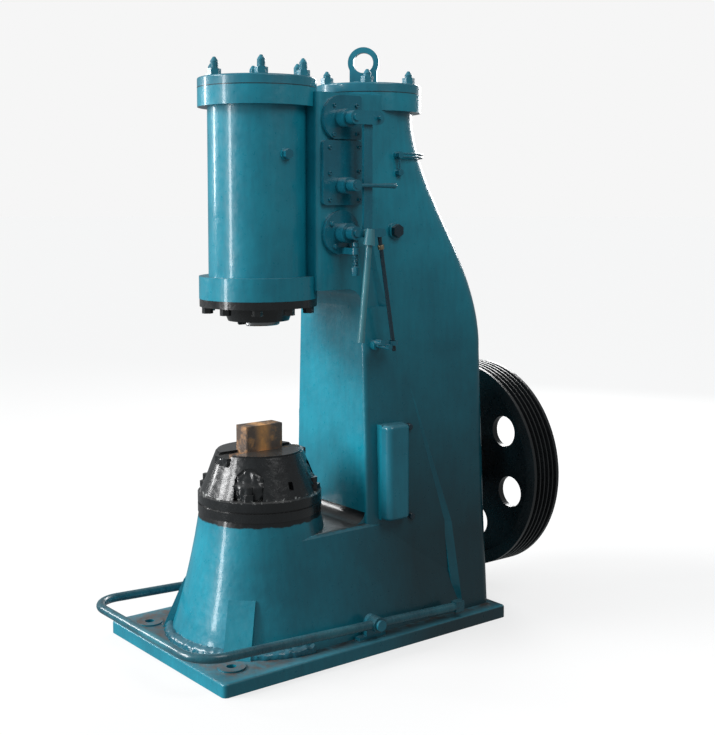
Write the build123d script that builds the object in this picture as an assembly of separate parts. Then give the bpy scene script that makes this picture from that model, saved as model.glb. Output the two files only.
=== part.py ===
from build123d import *
import math
import os

# Air forging hammer with a one-piece frame, in millimetres.
# +Z is up. The origin is where the working axis meets the underside of the base plate.
# -Y is the die end, +Y the crank and pulley end, +X the side with the controls.

# Base plate and its anchor holes
PLATE_HALF_WIDTH = 345
PLATE_FRONT_Y = -353
PLATE_REAR_Y = 762
PLATE_THICK = 40
PLATE_CORNER_R = 16
PLATE_EDGE_R = 7
FOOT_SINK = 20
ANCHOR_INSET_X = 99
ANCHOR_INSET_Y = 87
ANCHOR_HOLE_R = 15
ANCHOR_BOSS_R = 42
ANCHOR_BOSS_RISE = 5

# Pedestal under the anvil
PEDESTAL_FOOT_R = 292
PEDESTAL_LOW_R = 257
PEDESTAL_MID_R = 226
PEDESTAL_TOP_R = 193
PEDESTAL_LOW_Z = 130
PEDESTAL_MID_Z = 251
PEDESTAL_TOP_Z = 425
PEDESTAL_REAR_Y = 640
BRIDGE_Z = 366
BRIDGE_EDGE_R = 22
BRIDGE_COVE_R = 46
GUSSET_WIDTH = 84
GUSSET_TOP_R = 239
GUSSET_FOOT_R = 318
GUSSET_TOP_Z = 200
GUSSET_ANGLE = 47

# Column behind the work space
COLUMN_FRONT_Y = 281
COLUMN_FOOT_HALF_WIDTH = 199
COLUMN_TOP_HALF_WIDTH = 172
COLUMN_FOOT_Z = 300
COLUMN_FOOT_SPREAD = 62
COLUMN_TOP_SPREAD = 50
COLUMN_EDGE_R = 15
ARCH_Z = 1122
ARCH_R = 62

# Working cylinder, on the origin's axis
WORK_BODY_R = 155
WORK_FLANGE_R = 185
WORK_FLANGE_Z = 1096
WORK_FLANGE_THICK = 70
WORK_BORE_R = 105
WORK_BORE_CLEARANCE = 0.08
TOP_FLANGE_Z = 1687
TOP_FLANGE_THICK = 59
COVER_THICK = 30
COVER_EDGE_R = 5

# Compressor cylinder, behind it
COMPRESSOR_Y = 441
COMPRESSOR_BODY_R = 144
COMPRESSOR_FLANGE_R = 174
CHEST_FRONT_Y = 104
CHEST_WAIST_Y = 276
CHEST_REAR_HALF_WIDTH = 148
CHEST_TOP_GAP = 14

# Crankcase below the compressor
CASE_REAR_Y = 750
CASE_FOOT_HALF_WIDTH = 288
CASE_FOOT_FRONT_HALF_WIDTH = 290
CASE_FOOT_FRONT_Y = 600
CASE_KNEE_Z = 337
CASE_KNEE_HALF_WIDTH = 271
CASE_KNEE_FRONT_Y = 575
CASE_KNEE_STEP = 17
CASE_SHOULDER_Z = 900
CASE_SHOULDER_HALF_WIDTH = 244
CASE_SHOULDER_FRONT_Y = 404
CASE_BEVEL = 20
CASE_REAR_EDGE_R = 38
CASE_TOP_Z = 1680
CASE_TOP_HALF_WIDTH = 140
CASE_TOP_REAR_GAP = 4
CASE_TOP_FRONT_Y = 300
CASE_LEVEL_COUNT = 9
CASE_EASE = 1.1

# Gland and ram below the working cylinder
GLAND_THICK = 24
GLAND_HUB_TOP_R = 114
GLAND_HUB_FOOT_R = 96
GLAND_HUB_LENGTH = 46
GLAND_BOLT_COUNT = 10
GLAND_BOLT_R = 15
GLAND_BOLT_CIRCLE_R = 164
GLAND_BOLT_HEAD = 20
GLAND_BOLT_START = 1
RAM_R = 66
RAM_CLEARANCE = 0.08
RAM_STICKOUT = 14
RAM_ROD_LENGTH = 330
PISTON_LENGTH = 120
RAM_EDGE = 3
RAM_SLOT_DEPTH = 30

# Anvil block and lower die
ANVIL_RING_R = 196
ANVIL_RING_THICK = 64
ANVIL_GROOVE_DEPTH = 5
ANVIL_GROOVE_WIDTH = 6
ANVIL_GROOVE_RISE = 27
ANVIL_RING_EDGE = 4
ANVIL_FOOT_R = 188
ANVIL_TOP_R = 139
ANVIL_HEIGHT = 123
ANVIL_COLLAR_R = 134
ANVIL_COLLAR_THICK = 5
ANVIL_POCKET_WIDTH = 92
ANVIL_POCKET_HEIGHT = 96
ANVIL_POCKET_R = 148
ANVIL_KEY_HOLE_WIDTH = 16
ANVIL_KEY_HOLE_HEIGHT = 25
ANVIL_KEY_HOLE_DEPTH = 16
ANVIL_KEY_HOLE_RISE = 37
ANVIL_STUD_R = 14
ANVIL_STUD_CIRCLE_R = 171
ANVIL_STUD_LENGTH = 42
ANVIL_NUT_ACROSS_FLATS = 40
DIE_WIDTH = 62
DIE_LENGTH = 136
DIE_RISE = 79
DIE_CHAMFER = 2.5
DOVETAIL_TOP_WIDTH = 44
DOVETAIL_FOOT_WIDTH = 58
DOVETAIL_DEPTH = 34
DIE_KEY_WIDTH = 18
DIE_FIT = 0.05

# Cover studs and their nuts
STUD_R = 12
STUD_TIP = 12
STUD_COUNT = 6
WORK_STUD_CIRCLE_R = 156
WORK_STUD_LENGTH = 44
COMPRESSOR_STUD_CIRCLE_R = 153
COMPRESSOR_STUD_LENGTH = 30
NUT_ACROSS_FLATS = 36
NUT_THICK = 20
WORK_STUD_START = -29
COMPRESSOR_STUD_START = 20

# Lifting eye on the compressor cover
EYE_R = 51
EYE_HOLE_R = 33
EYE_THICK = 24
EYE_OFFSET = 20
EYE_CENTRE_RISE = 76
EYE_FOOT_R = 34
EYE_FOOT_THICK = 14
EYE_TURN = 46
EYE_NECK = 12

# Valve covers on the control side
VALVE_Y = 190
UPPER_VALVE_DROP = 93
MIDDLE_VALVE_DROP = 300
LOWER_VALVE_DROP = 446
VALVE_COVER_THICK = 14
VALVE_BOSS_RISE = 40
UPPER_COVER_R = 71
UPPER_COVER_REAR = 76
UPPER_COVER_DROP = 64
UPPER_COVER_CORNER_R = 8
MIDDLE_COVER_WIDTH = 152
MIDDLE_COVER_OFFSET = 3
MIDDLE_COVER_GAP = 4
MIDDLE_COVER_HEIGHT = 199
MIDDLE_COVER_CORNER_R = 14
LOWER_COVER_R = 69
UPPER_BOSS_R = 29
MIDDLE_BOSS_R = 26
LOWER_BOSS_R = 31
SPINDLE_R = 11
SPINDLE_FIT = 0.05

# Control linkage
ARM_HUB_R = 21
ARM_HUB_LENGTH = 30
ARM_HUB_GAP = 2
ARM_THICK = 12
ARM_WIDTH = 26
UPPER_ARM_WIDTH = 42
LINK_RADIUS = 56
LINK_WIDTH = 34
LINK_THICK = 8
LINK_GAP = 2
LINK_PIN_R = 6
UPPER_ARM_REACH = 87
ARM_KNOB_R = 7
ARM_KNOB_LENGTH = 15
PULL_RADIUS = 104
PULL_ROD_R = 6.5
PULL_ROD_LENGTH = 382
PULL_ROD_LEAN = 9.5
PULL_EYE_R = 13
PULL_EYE_THICK = 14
GUIDE_DISTANCE = 355
GUIDE_OFFSET = 2.8
GUIDE_BORE_GAP = 5.5
GUIDE_EYE_WALL = 6
GUIDE_EYE_THICK = 14
GUIDE_ARM_THICK = 9
GUIDE_ARM_REACH = 60
GUIDE_ARM_RISE = 6
GUIDE_STUD_REACH = 28
GUIDE_STUD_DROP = 10
GUIDE_STUD_R = 8
GUIDE_KNOB_R = 9
GUIDE_KNOB_X = 262
GUIDE_BOSS_R = 16
GUIDE_BOSS_RISE = 27
SOCKET_TOP_R = 13
SOCKET_FOOT_R = 19
SOCKET_LENGTH = 50
HANDLE_R = 10
HANDLE_RADIUS = 37
HANDLE_LENGTH = 350
HANDLE_LEAN = 37
HANDLE_GRIP_LENGTH = 34
HANDLE_GRIP_STEP = 1.5
MODE_HUB_R = 18
MODE_HUB_LENGTH = 34
MODE_ROD_INSET = 6.5
MODE_ROD_R = 6
MODE_REACH = 150
MODE_GRIP_R = 9.5
MODE_GRIP_LENGTH = 66
DETENT_R = 9.5
DETENT_SPRING_LENGTH = 66
DETENT_NUT_LENGTH = 34
DETENT_LUG_THICK = 20
DETENT_LUG_RISE = 4
DETENT_SHIFT = 10
DETENT_GAP = 6

# Plugs and oil pipe
CYLINDER_PLUG_Z = 1540
PLUG_ACROSS_FLATS = 28
PLUG_RISE = 14
PLUG_BOSS_RISE = 4
FLANK_PLUG_Y = 408
FLANK_PLUG_Z = 1303
FLANK_PLUG_ACROSS_FLATS = 38
FLANK_BOSS_RISE = 14
OIL_UNION_X = 165
OIL_UNION_Y = 434
OIL_UNION_Z = 1546
OIL_UNION_ACROSS_FLATS = 20
OIL_UNION_LENGTH = 14
OIL_SEAT_R = 12
OIL_FITTING_DROP = 56
OIL_PIPE_R = 3
OIL_PIPE_SPREAD = 5
OIL_ARC_Y = 452

# Side covers on the crank space
SIDE_COVER_FRONT_Y = 324
SIDE_COVER_WIDTH = 94
SIDE_COVER_FOOT_Z = 376
SIDE_COVER_HEIGHT = 308
SIDE_COVER_X = 254
SIDE_PAD_X = 216
SIDE_COVER_EDGE_R = 22
SIDE_COVER_RIM_R = 12

# Crankshaft, its bearing housing and the pulley
CRANK_Z = 453
SHAFT_R = 40
SHAFT_FIT = 0.05
SHAFT_INSET = 150
SHAFT_BORE_GAP = 12
SHAFT_END_STICKOUT = 8
SHAFT_END_GAP = 5
SHAFT_EDGE = 3
HOUSING_FLANGE_R = 122
HOUSING_FLANGE_THICK = 22
HOUSING_R = 98
HOUSING_LENGTH = 84
HOUSING_EDGE = 6
HOUSING_BOLT_COUNT = 6
HOUSING_BOLT_CIRCLE_R = 109
HOUSING_BOLT_R = 8
HOUSING_BOLT_HEAD = 10
PULLEY_R = 365
PULLEY_WIDTH = 119
PULLEY_GAP = 39
RIM_THICK = 40
WEB_THICK = 22
PULLEY_HUB_R = 76
PULLEY_HUB_LENGTH = 132
GROOVE_COUNT = 5
GROOVE_PITCH = 20
GROOVE_DEPTH = 15
GROOVE_MOUTH = 16
GROOVE_FLOOR = 8
WEB_HOLE_COUNT = 6
WEB_HOLE_R = 54
WEB_HOLE_CIRCLE_R = 213
WEB_HOLE_START = 39
SHAFT_KEY_WIDTH = 22
SHAFT_KEY_HEIGHT = 14
SHAFT_KEY_LENGTH = 90
SHAFT_KEY_FIT = 0.05

# Foot treadle
BAR_R = 14
BAR_HALF_WIDTH = 333
BAR_FRONT_Y = -431
BAR_REAR_Y = 551
BAR_CORNER_R = 95
BAR_PIVOT_Y = 209
BAR_PIVOT_Z = 92
BAR_SLOPE = 2.4
BAR_HUB_R = 24
BAR_HUB_LENGTH = 34
BAR_END_LENGTH = 36
BAR_END_WIDTH = 26
BAR_END_HEIGHT = 34
PIVOT_PIN_R = 10
PIVOT_FIT = 0.05
PIVOT_HEAD_R = 17
PIVOT_HEAD_THICK = 9
PIVOT_GAP = 2
BRACKET_THICK = 16
BRACKET_LUG_R = 24
BRACKET_FOOT_LENGTH = 104
BRACKET_FOOT_THICK = 12
BRACKET_FOOT_MARGIN = 5

# Places that follow from the sizes above
JOINT_Z = TOP_FLANGE_Z + TOP_FLANGE_THICK
COVER_TOP_Z = JOINT_Z + COVER_THICK
ANCHOR_X = PLATE_HALF_WIDTH - ANCHOR_INSET_X
ANCHOR_Y = (PLATE_FRONT_Y + ANCHOR_INSET_Y, PLATE_REAR_Y - ANCHOR_INSET_Y)
ANVIL_RING_TOP_Z = PEDESTAL_TOP_Z + ANVIL_RING_THICK
ANVIL_TOP_Z = ANVIL_RING_TOP_Z + ANVIL_HEIGHT
ANVIL_COLLAR_Z = ANVIL_TOP_Z + ANVIL_COLLAR_THICK
COLUMN_TOP_Z = ARCH_Z - ARCH_R
UPPER_VALVE_Z = JOINT_Z - UPPER_VALVE_DROP
MIDDLE_VALVE_Z = JOINT_Z - MIDDLE_VALVE_DROP
LOWER_VALVE_Z = JOINT_Z - LOWER_VALVE_DROP
UPPER_COVER_FOOT_Z = UPPER_VALVE_Z - UPPER_COVER_DROP
MIDDLE_COVER_TOP_Z = UPPER_COVER_FOOT_Z - MIDDLE_COVER_GAP
CASE_TOP_REAR_Y = COMPRESSOR_Y + COMPRESSOR_BODY_R - CASE_TOP_REAR_GAP
PAD_X = COLUMN_TOP_HALF_WIDTH
BOSS_X = PAD_X + VALVE_COVER_THICK + VALVE_BOSS_RISE
HUB_X = BOSS_X + ARM_HUB_GAP
ARM_X = HUB_X + ARM_HUB_LENGTH
LINK_X = ARM_X - ARM_THICK - LINK_GAP - LINK_THICK
PIN_Y = VALVE_Y + LINK_RADIUS
PULL_Y = VALVE_Y + PULL_RADIUS
PULL_X = ARM_X - ARM_THICK - PULL_EYE_THICK / 2 - 1
HOUSING_Y = CASE_REAR_Y + HOUSING_LENGTH
PULLEY_Y = HOUSING_Y + PULLEY_GAP
PULLEY_MID_Y = PULLEY_Y + PULLEY_WIDTH / 2
RAM_FOOT_Z = WORK_FLANGE_Z - GLAND_THICK - GLAND_HUB_LENGTH - RAM_STICKOUT
PISTON_Z = RAM_FOOT_Z + RAM_ROD_LENGTH


def rod(radius, length, place, axis="z"):
    """A round bar that starts at a place and runs along +X, +Y or +Z."""
    turn = {"x": Rotation(0, 90, 0), "y": Rotation(-90, 0, 0), "z": Rotation(0, 0, 0)}[axis]
    return Pos(*place) * turn * Cylinder(radius, length, align=(Align.CENTER, Align.CENTER, Align.MIN))


def hexagon(across_flats, thick, place, axis="z"):
    """A hexagon nut or head that starts at a place and runs along an axis."""
    turn = {"x": Rotation(0, 90, 0), "y": Rotation(-90, 0, 0), "z": Rotation(0, 0, 0)}[axis]
    outline = RegularPolygon(across_flats / math.sqrt(3), 6)
    return Pos(*place) * turn * extrude(outline, thick)


def block(x0, x1, y0, y1, z0, z1):
    """A rectangular block between two corners."""
    place = Pos((x0 + x1) / 2, (y0 + y1) / 2, (z0 + z1) / 2)
    return place * Box(x1 - x0, y1 - y0, z1 - z0)


def ring_of(count, radius, start, centre, z):
    """Places spread evenly on a level circle."""
    step = 360 / count
    angles = [math.radians(start + step * i) for i in range(count)]
    return [(centre[0] + radius * math.cos(a), centre[1] + radius * math.sin(a), z) for a in angles]


def mirrored(shape):
    """The shape and its mirror image across the machine's middle plane."""
    return shape + mirror(shape, Plane.YZ)


def stadium(half_width, rear_y, z):
    """A level outline, round in front about the working axis and straight to the rear."""
    nose = ThreePointArc((-half_width, 0), (0, -half_width), (half_width, 0))
    right = Line((half_width, 0), (half_width, rear_y))
    rear = Line((half_width, rear_y), (-half_width, rear_y))
    left = Line((-half_width, rear_y), (-half_width, 0))
    return Pos(0, 0, z) * make_face([nose, right, rear, left])


def between(value, low, high, start, end):
    """The size at a level that lies between two known ones, on a straight line."""
    return start + (end - start) * (value - low) / (high - low)


def column_half_width(y, z):
    """Half the casting's width on the column's sides, which spread towards the rear."""
    level = min(z, COLUMN_TOP_Z)
    front = between(level, COLUMN_FOOT_Z, COLUMN_TOP_Z, COLUMN_FOOT_HALF_WIDTH, COLUMN_TOP_HALF_WIDTH)
    spread = between(level, COLUMN_FOOT_Z, COLUMN_TOP_Z, COLUMN_FOOT_SPREAD, COLUMN_TOP_SPREAD)
    return front + spread * (y - COLUMN_FRONT_Y) / (CASE_REAR_Y - COLUMN_FRONT_Y)


def case_section(z, front_y, front_half, rear_y, rear_half, rear_r):
    """A level outline of the crankcase, with its front corners cut off and its rear ones round."""
    right = [(front_half - CASE_BEVEL, front_y), (front_half, front_y + CASE_BEVEL), (rear_half, rear_y)]
    left = [(-x, y) for x, y in reversed(right)]
    outline = make_face(Polyline(*(right + left), close=True))
    rear = outline.vertices().sort_by(Axis.Y)[-2:]
    return Pos(0, 0, z) * fillet(rear, rear_r)


def base_plate():
    plate = block(
        -PLATE_HALF_WIDTH, PLATE_HALF_WIDTH, PLATE_FRONT_Y, PLATE_REAR_Y, 0, PLATE_THICK
    )
    plate = fillet(plate.edges().filter_by(Axis.Z), PLATE_CORNER_R)
    plate = fillet(plate.edges().group_by(Axis.Z)[-1], PLATE_EDGE_R)
    for x in (-ANCHOR_X, ANCHOR_X):
        for y in ANCHOR_Y:
            plate += rod(ANCHOR_BOSS_R, PLATE_THICK + ANCHOR_BOSS_RISE, (x, y, 0))
    return plate


def anchor_holes():
    through = PLATE_THICK + ANCHOR_BOSS_RISE
    holes = [rod(ANCHOR_HOLE_R, 2 * through, (x, y, -through / 2)) for x in (-ANCHOR_X, ANCHOR_X)
             for y in ANCHOR_Y]
    return holes


def pedestal():
    """A tapered pedestal, round in front and carried to the rear as a lower bridge."""
    levels = [
        (FOOT_SINK, PEDESTAL_FOOT_R),
        (PEDESTAL_LOW_Z, PEDESTAL_LOW_R),
        (PEDESTAL_MID_Z, PEDESTAL_MID_R),
        (PEDESTAL_TOP_Z, PEDESTAL_TOP_R),
    ]
    body = loft([stadium(radius, PEDESTAL_REAR_Y, z) for z, radius in levels])
    foot_z = BRIDGE_Z - 2 * BRIDGE_EDGE_R
    above = block(
        -PEDESTAL_FOOT_R, PEDESTAL_FOOT_R, 0, PEDESTAL_REAR_Y + 1, foot_z, PEDESTAL_TOP_Z + 1
    )
    round_top = [Pos(0, 0, z) * Circle(between(z, PEDESTAL_MID_Z, PEDESTAL_TOP_Z, PEDESTAL_MID_R,
                                               PEDESTAL_TOP_R) - 1) for z in (foot_z - 1, PEDESTAL_TOP_Z + 2)]
    return body - (above - bridge_envelope() - loft(round_top))


def bridge_envelope():
    """The rounded outline that the bridge behind the pedestal keeps within."""
    slope = (PEDESTAL_MID_R - PEDESTAL_TOP_R) / (PEDESTAL_TOP_Z - PEDESTAL_MID_Z)
    top = PEDESTAL_TOP_R + slope * (PEDESTAL_TOP_Z - BRIDGE_Z) + 1
    foot = top + slope * BRIDGE_Z
    outline = make_face(Polyline((-foot, 0), (foot, 0), (top, BRIDGE_Z), (-top, BRIDGE_Z), close=True))
    outline = fillet(outline.vertices().sort_by(Axis.Y)[-2:], BRIDGE_EDGE_R)
    return Pos(0, PEDESTAL_REAR_Y + 2, 0) * extrude(Plane.XZ * outline, PEDESTAL_REAR_Y + 4)


def bridge_cove():
    """The hollow curve from the bridge's top into the column's front."""
    y, z = COLUMN_FRONT_Y + 1, BRIDGE_Z - 1
    reach = BRIDGE_COVE_R + 1
    lean = BRIDGE_COVE_R * (1 - math.sqrt(0.5))
    curve = ThreePointArc((y - reach, z), (y - lean, z + lean), (y, z + reach))
    side = make_face([curve, Line((y, z + reach), (y, z)), Line((y, z), (y - reach, z))])
    half = COLUMN_FOOT_HALF_WIDTH - COLUMN_EDGE_R
    return extrude(Plane.YZ * side, half, both=True)


def gusset(angle):
    side = Polyline(
        (0, FOOT_SINK),
        (GUSSET_FOOT_R, FOOT_SINK),
        (GUSSET_TOP_R, GUSSET_TOP_Z),
        (0, GUSSET_TOP_Z),
        close=True,
    )
    rib = extrude(make_face(Plane.XZ * side), GUSSET_WIDTH / 2, both=True)
    return Rotation(0, 0, angle) * rib


def column():
    """The column behind the work space, with sides that spread towards the rear."""
    def level(z):
        near = column_half_width(COLUMN_FRONT_Y, z)
        far = column_half_width(PEDESTAL_REAR_Y, z)
        corners = [(-near, COLUMN_FRONT_Y), (near, COLUMN_FRONT_Y), (far, PEDESTAL_REAR_Y),
                   (-far, PEDESTAL_REAR_Y)]
        outline = make_face(Polyline(*corners, close=True))
        front = outline.vertices().sort_by(Axis.Y)[:2]
        return Pos(0, 0, z) * fillet(front, COLUMN_EDGE_R)

    return loft([level(FOOT_SINK), level(COLUMN_TOP_Z)])


def chest():
    """The valve chest between the two cylinders, arched into the column's front."""
    top = JOINT_Z - CHEST_TOP_GAP
    side = Polyline(
        (COLUMN_FRONT_Y, COLUMN_TOP_Z),
        (COLUMN_FRONT_Y, ARCH_Z),
        (CHEST_FRONT_Y, ARCH_Z),
        (CHEST_FRONT_Y, top),
        (COMPRESSOR_Y, top),
        (COMPRESSOR_Y, COLUMN_TOP_Z),
        close=True,
    )
    profile = make_face(Plane.YZ * side)
    body = extrude(profile, COLUMN_TOP_HALF_WIDTH, both=True)
    inner = body.edges().filter_by(Axis.X).sort_by_distance((0, COLUMN_FRONT_Y, ARCH_Z))[0]
    body = fillet(inner, ARCH_R - 2)
    front = body.edges().filter_by(Axis.Z).group_by(Axis.Y)[0]
    body = fillet(front, COLUMN_EDGE_R)
    flank = Polyline(
        (COLUMN_TOP_HALF_WIDTH, CHEST_WAIST_Y),
        (COLUMN_TOP_HALF_WIDTH + 1, COMPRESSOR_Y + 1),
        (CHEST_REAR_HALF_WIDTH, COMPRESSOR_Y + 1),
        close=True,
    )
    taper = Pos(0, 0, COLUMN_TOP_Z - 1) * extrude(make_face(flank), top - COLUMN_TOP_Z + 2)
    return body - mirrored(taper)


def case_level(z):
    """The crankcase's outline at a level, on an easy curve above its shoulder."""
    if z <= CASE_KNEE_Z:
        span = (z, FOOT_SINK, CASE_KNEE_Z)
        front_y = between(*span, CASE_FOOT_FRONT_Y, CASE_KNEE_FRONT_Y)
        knee_half = column_half_width(CASE_KNEE_FRONT_Y, CASE_KNEE_Z) + CASE_KNEE_STEP
        front_half = between(*span, CASE_FOOT_FRONT_HALF_WIDTH, knee_half)
        rear_half = between(*span, CASE_FOOT_HALF_WIDTH, CASE_KNEE_HALF_WIDTH)
        return case_section(z, front_y, front_half, CASE_REAR_Y, rear_half, CASE_REAR_EDGE_R)
    span = (z, CASE_KNEE_Z, CASE_SHOULDER_Z)
    slant_y = between(*span, CASE_KNEE_FRONT_Y, CASE_SHOULDER_FRONT_Y)
    front_y = max(slant_y, CASE_TOP_FRONT_Y)
    if z <= CASE_SHOULDER_Z:
        front_half = column_half_width(front_y, z) + between(*span, CASE_KNEE_STEP, 0)
        rear_half = between(*span, CASE_KNEE_HALF_WIDTH, CASE_SHOULDER_HALF_WIDTH)
        return case_section(z, front_y, front_half, CASE_REAR_Y, rear_half, CASE_REAR_EDGE_R)
    rise = ((z - CASE_SHOULDER_Z) / (CASE_TOP_Z - CASE_SHOULDER_Z)) ** CASE_EASE
    ease = 3 * rise ** 2 - 2 * rise ** 3
    inset = max(z - COLUMN_TOP_Z, 0) / (CASE_TOP_Z - COLUMN_TOP_Z)
    front_half = column_half_width(front_y, z) - inset ** 3 * (COLUMN_TOP_HALF_WIDTH - CASE_TOP_HALF_WIDTH)
    rear_y = CASE_REAR_Y + ease * (CASE_TOP_REAR_Y - CASE_REAR_Y)
    rear_half = CASE_SHOULDER_HALF_WIDTH + ease * (CASE_TOP_HALF_WIDTH - CASE_SHOULDER_HALF_WIDTH)
    rear_r = CASE_REAR_EDGE_R + ease * (CASE_TOP_HALF_WIDTH - 4 - CASE_REAR_EDGE_R)
    return case_section(z, front_y, front_half, rear_y, rear_half, rear_r)


def crankcase():
    """The wide rear of the casting, drawn in to the compressor cylinder at the top."""
    lower = loft([case_level(z) for z in (FOOT_SINK, CASE_KNEE_Z, CASE_SHOULDER_Z)], ruled=True)
    step = (CASE_TOP_Z - CASE_SHOULDER_Z) / (CASE_LEVEL_COUNT - 1)
    upper = loft([case_level(CASE_SHOULDER_Z + step * i) for i in range(CASE_LEVEL_COUNT)])
    return lower + upper


def cylinders():
    low = WORK_FLANGE_Z
    body = rod(WORK_BODY_R, JOINT_Z - low, (0, 0, low))
    body += rod(WORK_FLANGE_R, WORK_FLANGE_THICK, (0, 0, low))
    body += rod(WORK_FLANGE_R, TOP_FLANGE_THICK, (0, 0, TOP_FLANGE_Z))
    body += rod(COMPRESSOR_BODY_R, JOINT_Z - ARCH_Z, (0, COMPRESSOR_Y, ARCH_Z))
    body += rod(COMPRESSOR_FLANGE_R, TOP_FLANGE_THICK, (0, COMPRESSOR_Y, TOP_FLANGE_Z))
    return body


def frame_casting():
    casting = base_plate() + pedestal() + bridge_cove() + column() + chest() + crankcase() + cylinders()
    for angle in (-GUSSET_ANGLE, GUSSET_ANGLE - 180):
        casting += gusset(angle)
    casting += bosses()
    casting += block(
        -SIDE_PAD_X, SIDE_PAD_X, SIDE_COVER_FRONT_Y, SIDE_COVER_FRONT_Y + SIDE_COVER_WIDTH,
        SIDE_COVER_FOOT_Z, SIDE_COVER_FOOT_Z + SIDE_COVER_HEIGHT
    )
    casting -= rod(WORK_BORE_R, JOINT_Z - WORK_FLANGE_Z + 2, (0, 0, WORK_FLANGE_Z - 1))
    casting -= rod(
        SHAFT_R + SHAFT_BORE_GAP, SHAFT_INSET + 1, (0, CASE_REAR_Y - SHAFT_INSET, CRANK_Z), "y"
    )
    for hole in anchor_holes():
        casting -= hole
    return casting


def cover(radius, centre_y):
    plate = rod(radius, COVER_THICK, (0, centre_y, JOINT_Z))
    return fillet(plate.edges().group_by(Axis.Z)[-1], COVER_EDGE_R)


def studs(circle_r, start, centre_y, length):
    """Studs with nuts on a cylinder cover."""
    nuts = []
    for x, y, z in ring_of(STUD_COUNT, circle_r, start, (0, centre_y), COVER_TOP_Z):
        stud = rod(STUD_R, length, (x, y, z))
        stud += Pos(x, y, z + length) * Cone(
            STUD_R, STUD_R / 3, STUD_TIP, align=(Align.CENTER, Align.CENTER, Align.MIN)
        )
        nuts.append(stud + hexagon(NUT_ACROSS_FLATS, NUT_THICK, (x, y, z)))
    return Compound(children=nuts)


def lifting_eye():
    face = Circle(EYE_R) + Pos(0, -EYE_CENTRE_RISE / 2) * Rectangle(2 * EYE_R - EYE_NECK, EYE_CENTRE_RISE)
    face -= Circle(EYE_HOLE_R)
    plate = extrude(Plane.XZ * face, EYE_THICK / 2, both=True)
    plate = Pos(0, 0, EYE_CENTRE_RISE) * plate
    foot = Cylinder(EYE_FOOT_R, EYE_FOOT_THICK, align=(Align.CENTER, Align.CENTER, Align.MIN))
    eye = plate + foot
    return Pos(0, COMPRESSOR_Y - EYE_OFFSET, COVER_TOP_Z) * Rotation(0, 0, EYE_TURN) * eye


def gland():
    z = WORK_FLANGE_Z - GLAND_THICK
    ring = rod(WORK_FLANGE_R - 1, GLAND_THICK, (0, 0, z))
    hub = Pos(0, 0, z) * Rotation(180, 0, 0) * Cone(
        GLAND_HUB_TOP_R, GLAND_HUB_FOOT_R, GLAND_HUB_LENGTH,
        align=(Align.CENTER, Align.CENTER, Align.MIN)
    )
    body = ring + hub
    body -= rod(RAM_R + RAM_CLEARANCE, GLAND_THICK + GLAND_HUB_LENGTH + 2,
                (0, 0, z - GLAND_HUB_LENGTH - 1))
    return body


def gland_bolts():
    z = WORK_FLANGE_Z - GLAND_THICK - GLAND_BOLT_HEAD
    heads = []
    for x, y, _ in ring_of(GLAND_BOLT_COUNT, GLAND_BOLT_CIRCLE_R, GLAND_BOLT_START, (0, 0), z):
        heads.append(hexagon(2 * GLAND_BOLT_R, GLAND_BOLT_HEAD, (x, y, z)))
    return Compound(children=heads)


def ram():
    """The ram with its piston, and the empty dovetail slot for the upper die in its foot."""
    shank = rod(RAM_R, RAM_ROD_LENGTH + 1, (0, 0, RAM_FOOT_Z))
    shank += rod(WORK_BORE_R - WORK_BORE_CLEARANCE, PISTON_LENGTH, (0, 0, PISTON_Z))
    shank = chamfer(shank.edges().group_by(Axis.Z)[0], RAM_EDGE)
    half_mouth = DOVETAIL_TOP_WIDTH / 2
    half_floor = DOVETAIL_FOOT_WIDTH / 2
    mouth_z = RAM_FOOT_Z - 1
    floor_z = RAM_FOOT_Z + RAM_SLOT_DEPTH
    slot = Polyline((-half_mouth, mouth_z), (half_mouth, mouth_z), (half_floor, floor_z),
                    (-half_floor, floor_z), close=True)
    return shank - extrude(make_face(Plane.XZ * slot), RAM_R + 1, both=True)


def anvil_ring():
    body = rod(ANVIL_RING_R, ANVIL_RING_THICK, (0, 0, PEDESTAL_TOP_Z))
    groove_z = PEDESTAL_TOP_Z + ANVIL_GROOVE_RISE
    groove = rod(ANVIL_RING_R + 1, ANVIL_GROOVE_WIDTH, (0, 0, groove_z))
    groove -= rod(ANVIL_RING_R - ANVIL_GROOVE_DEPTH, ANVIL_GROOVE_WIDTH, (0, 0, groove_z))
    body -= groove
    return chamfer(body.edges().group_by(Axis.Z)[-1], ANVIL_RING_EDGE)


def dovetail_slot():
    """The outline of the die's dovetail with its key beside it, along the anvil's top."""
    top = ANVIL_COLLAR_Z
    half_top = DOVETAIL_TOP_WIDTH / 2
    half_foot = DOVETAIL_FOOT_WIDTH / 2
    side = Polyline(
        (-half_top, top),
        (half_top + DIE_KEY_WIDTH, top),
        (half_foot + DIE_KEY_WIDTH, top - DOVETAIL_DEPTH),
        (-half_foot, top - DOVETAIL_DEPTH),
        close=True,
    )
    return make_face(Plane.XZ * side)


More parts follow.
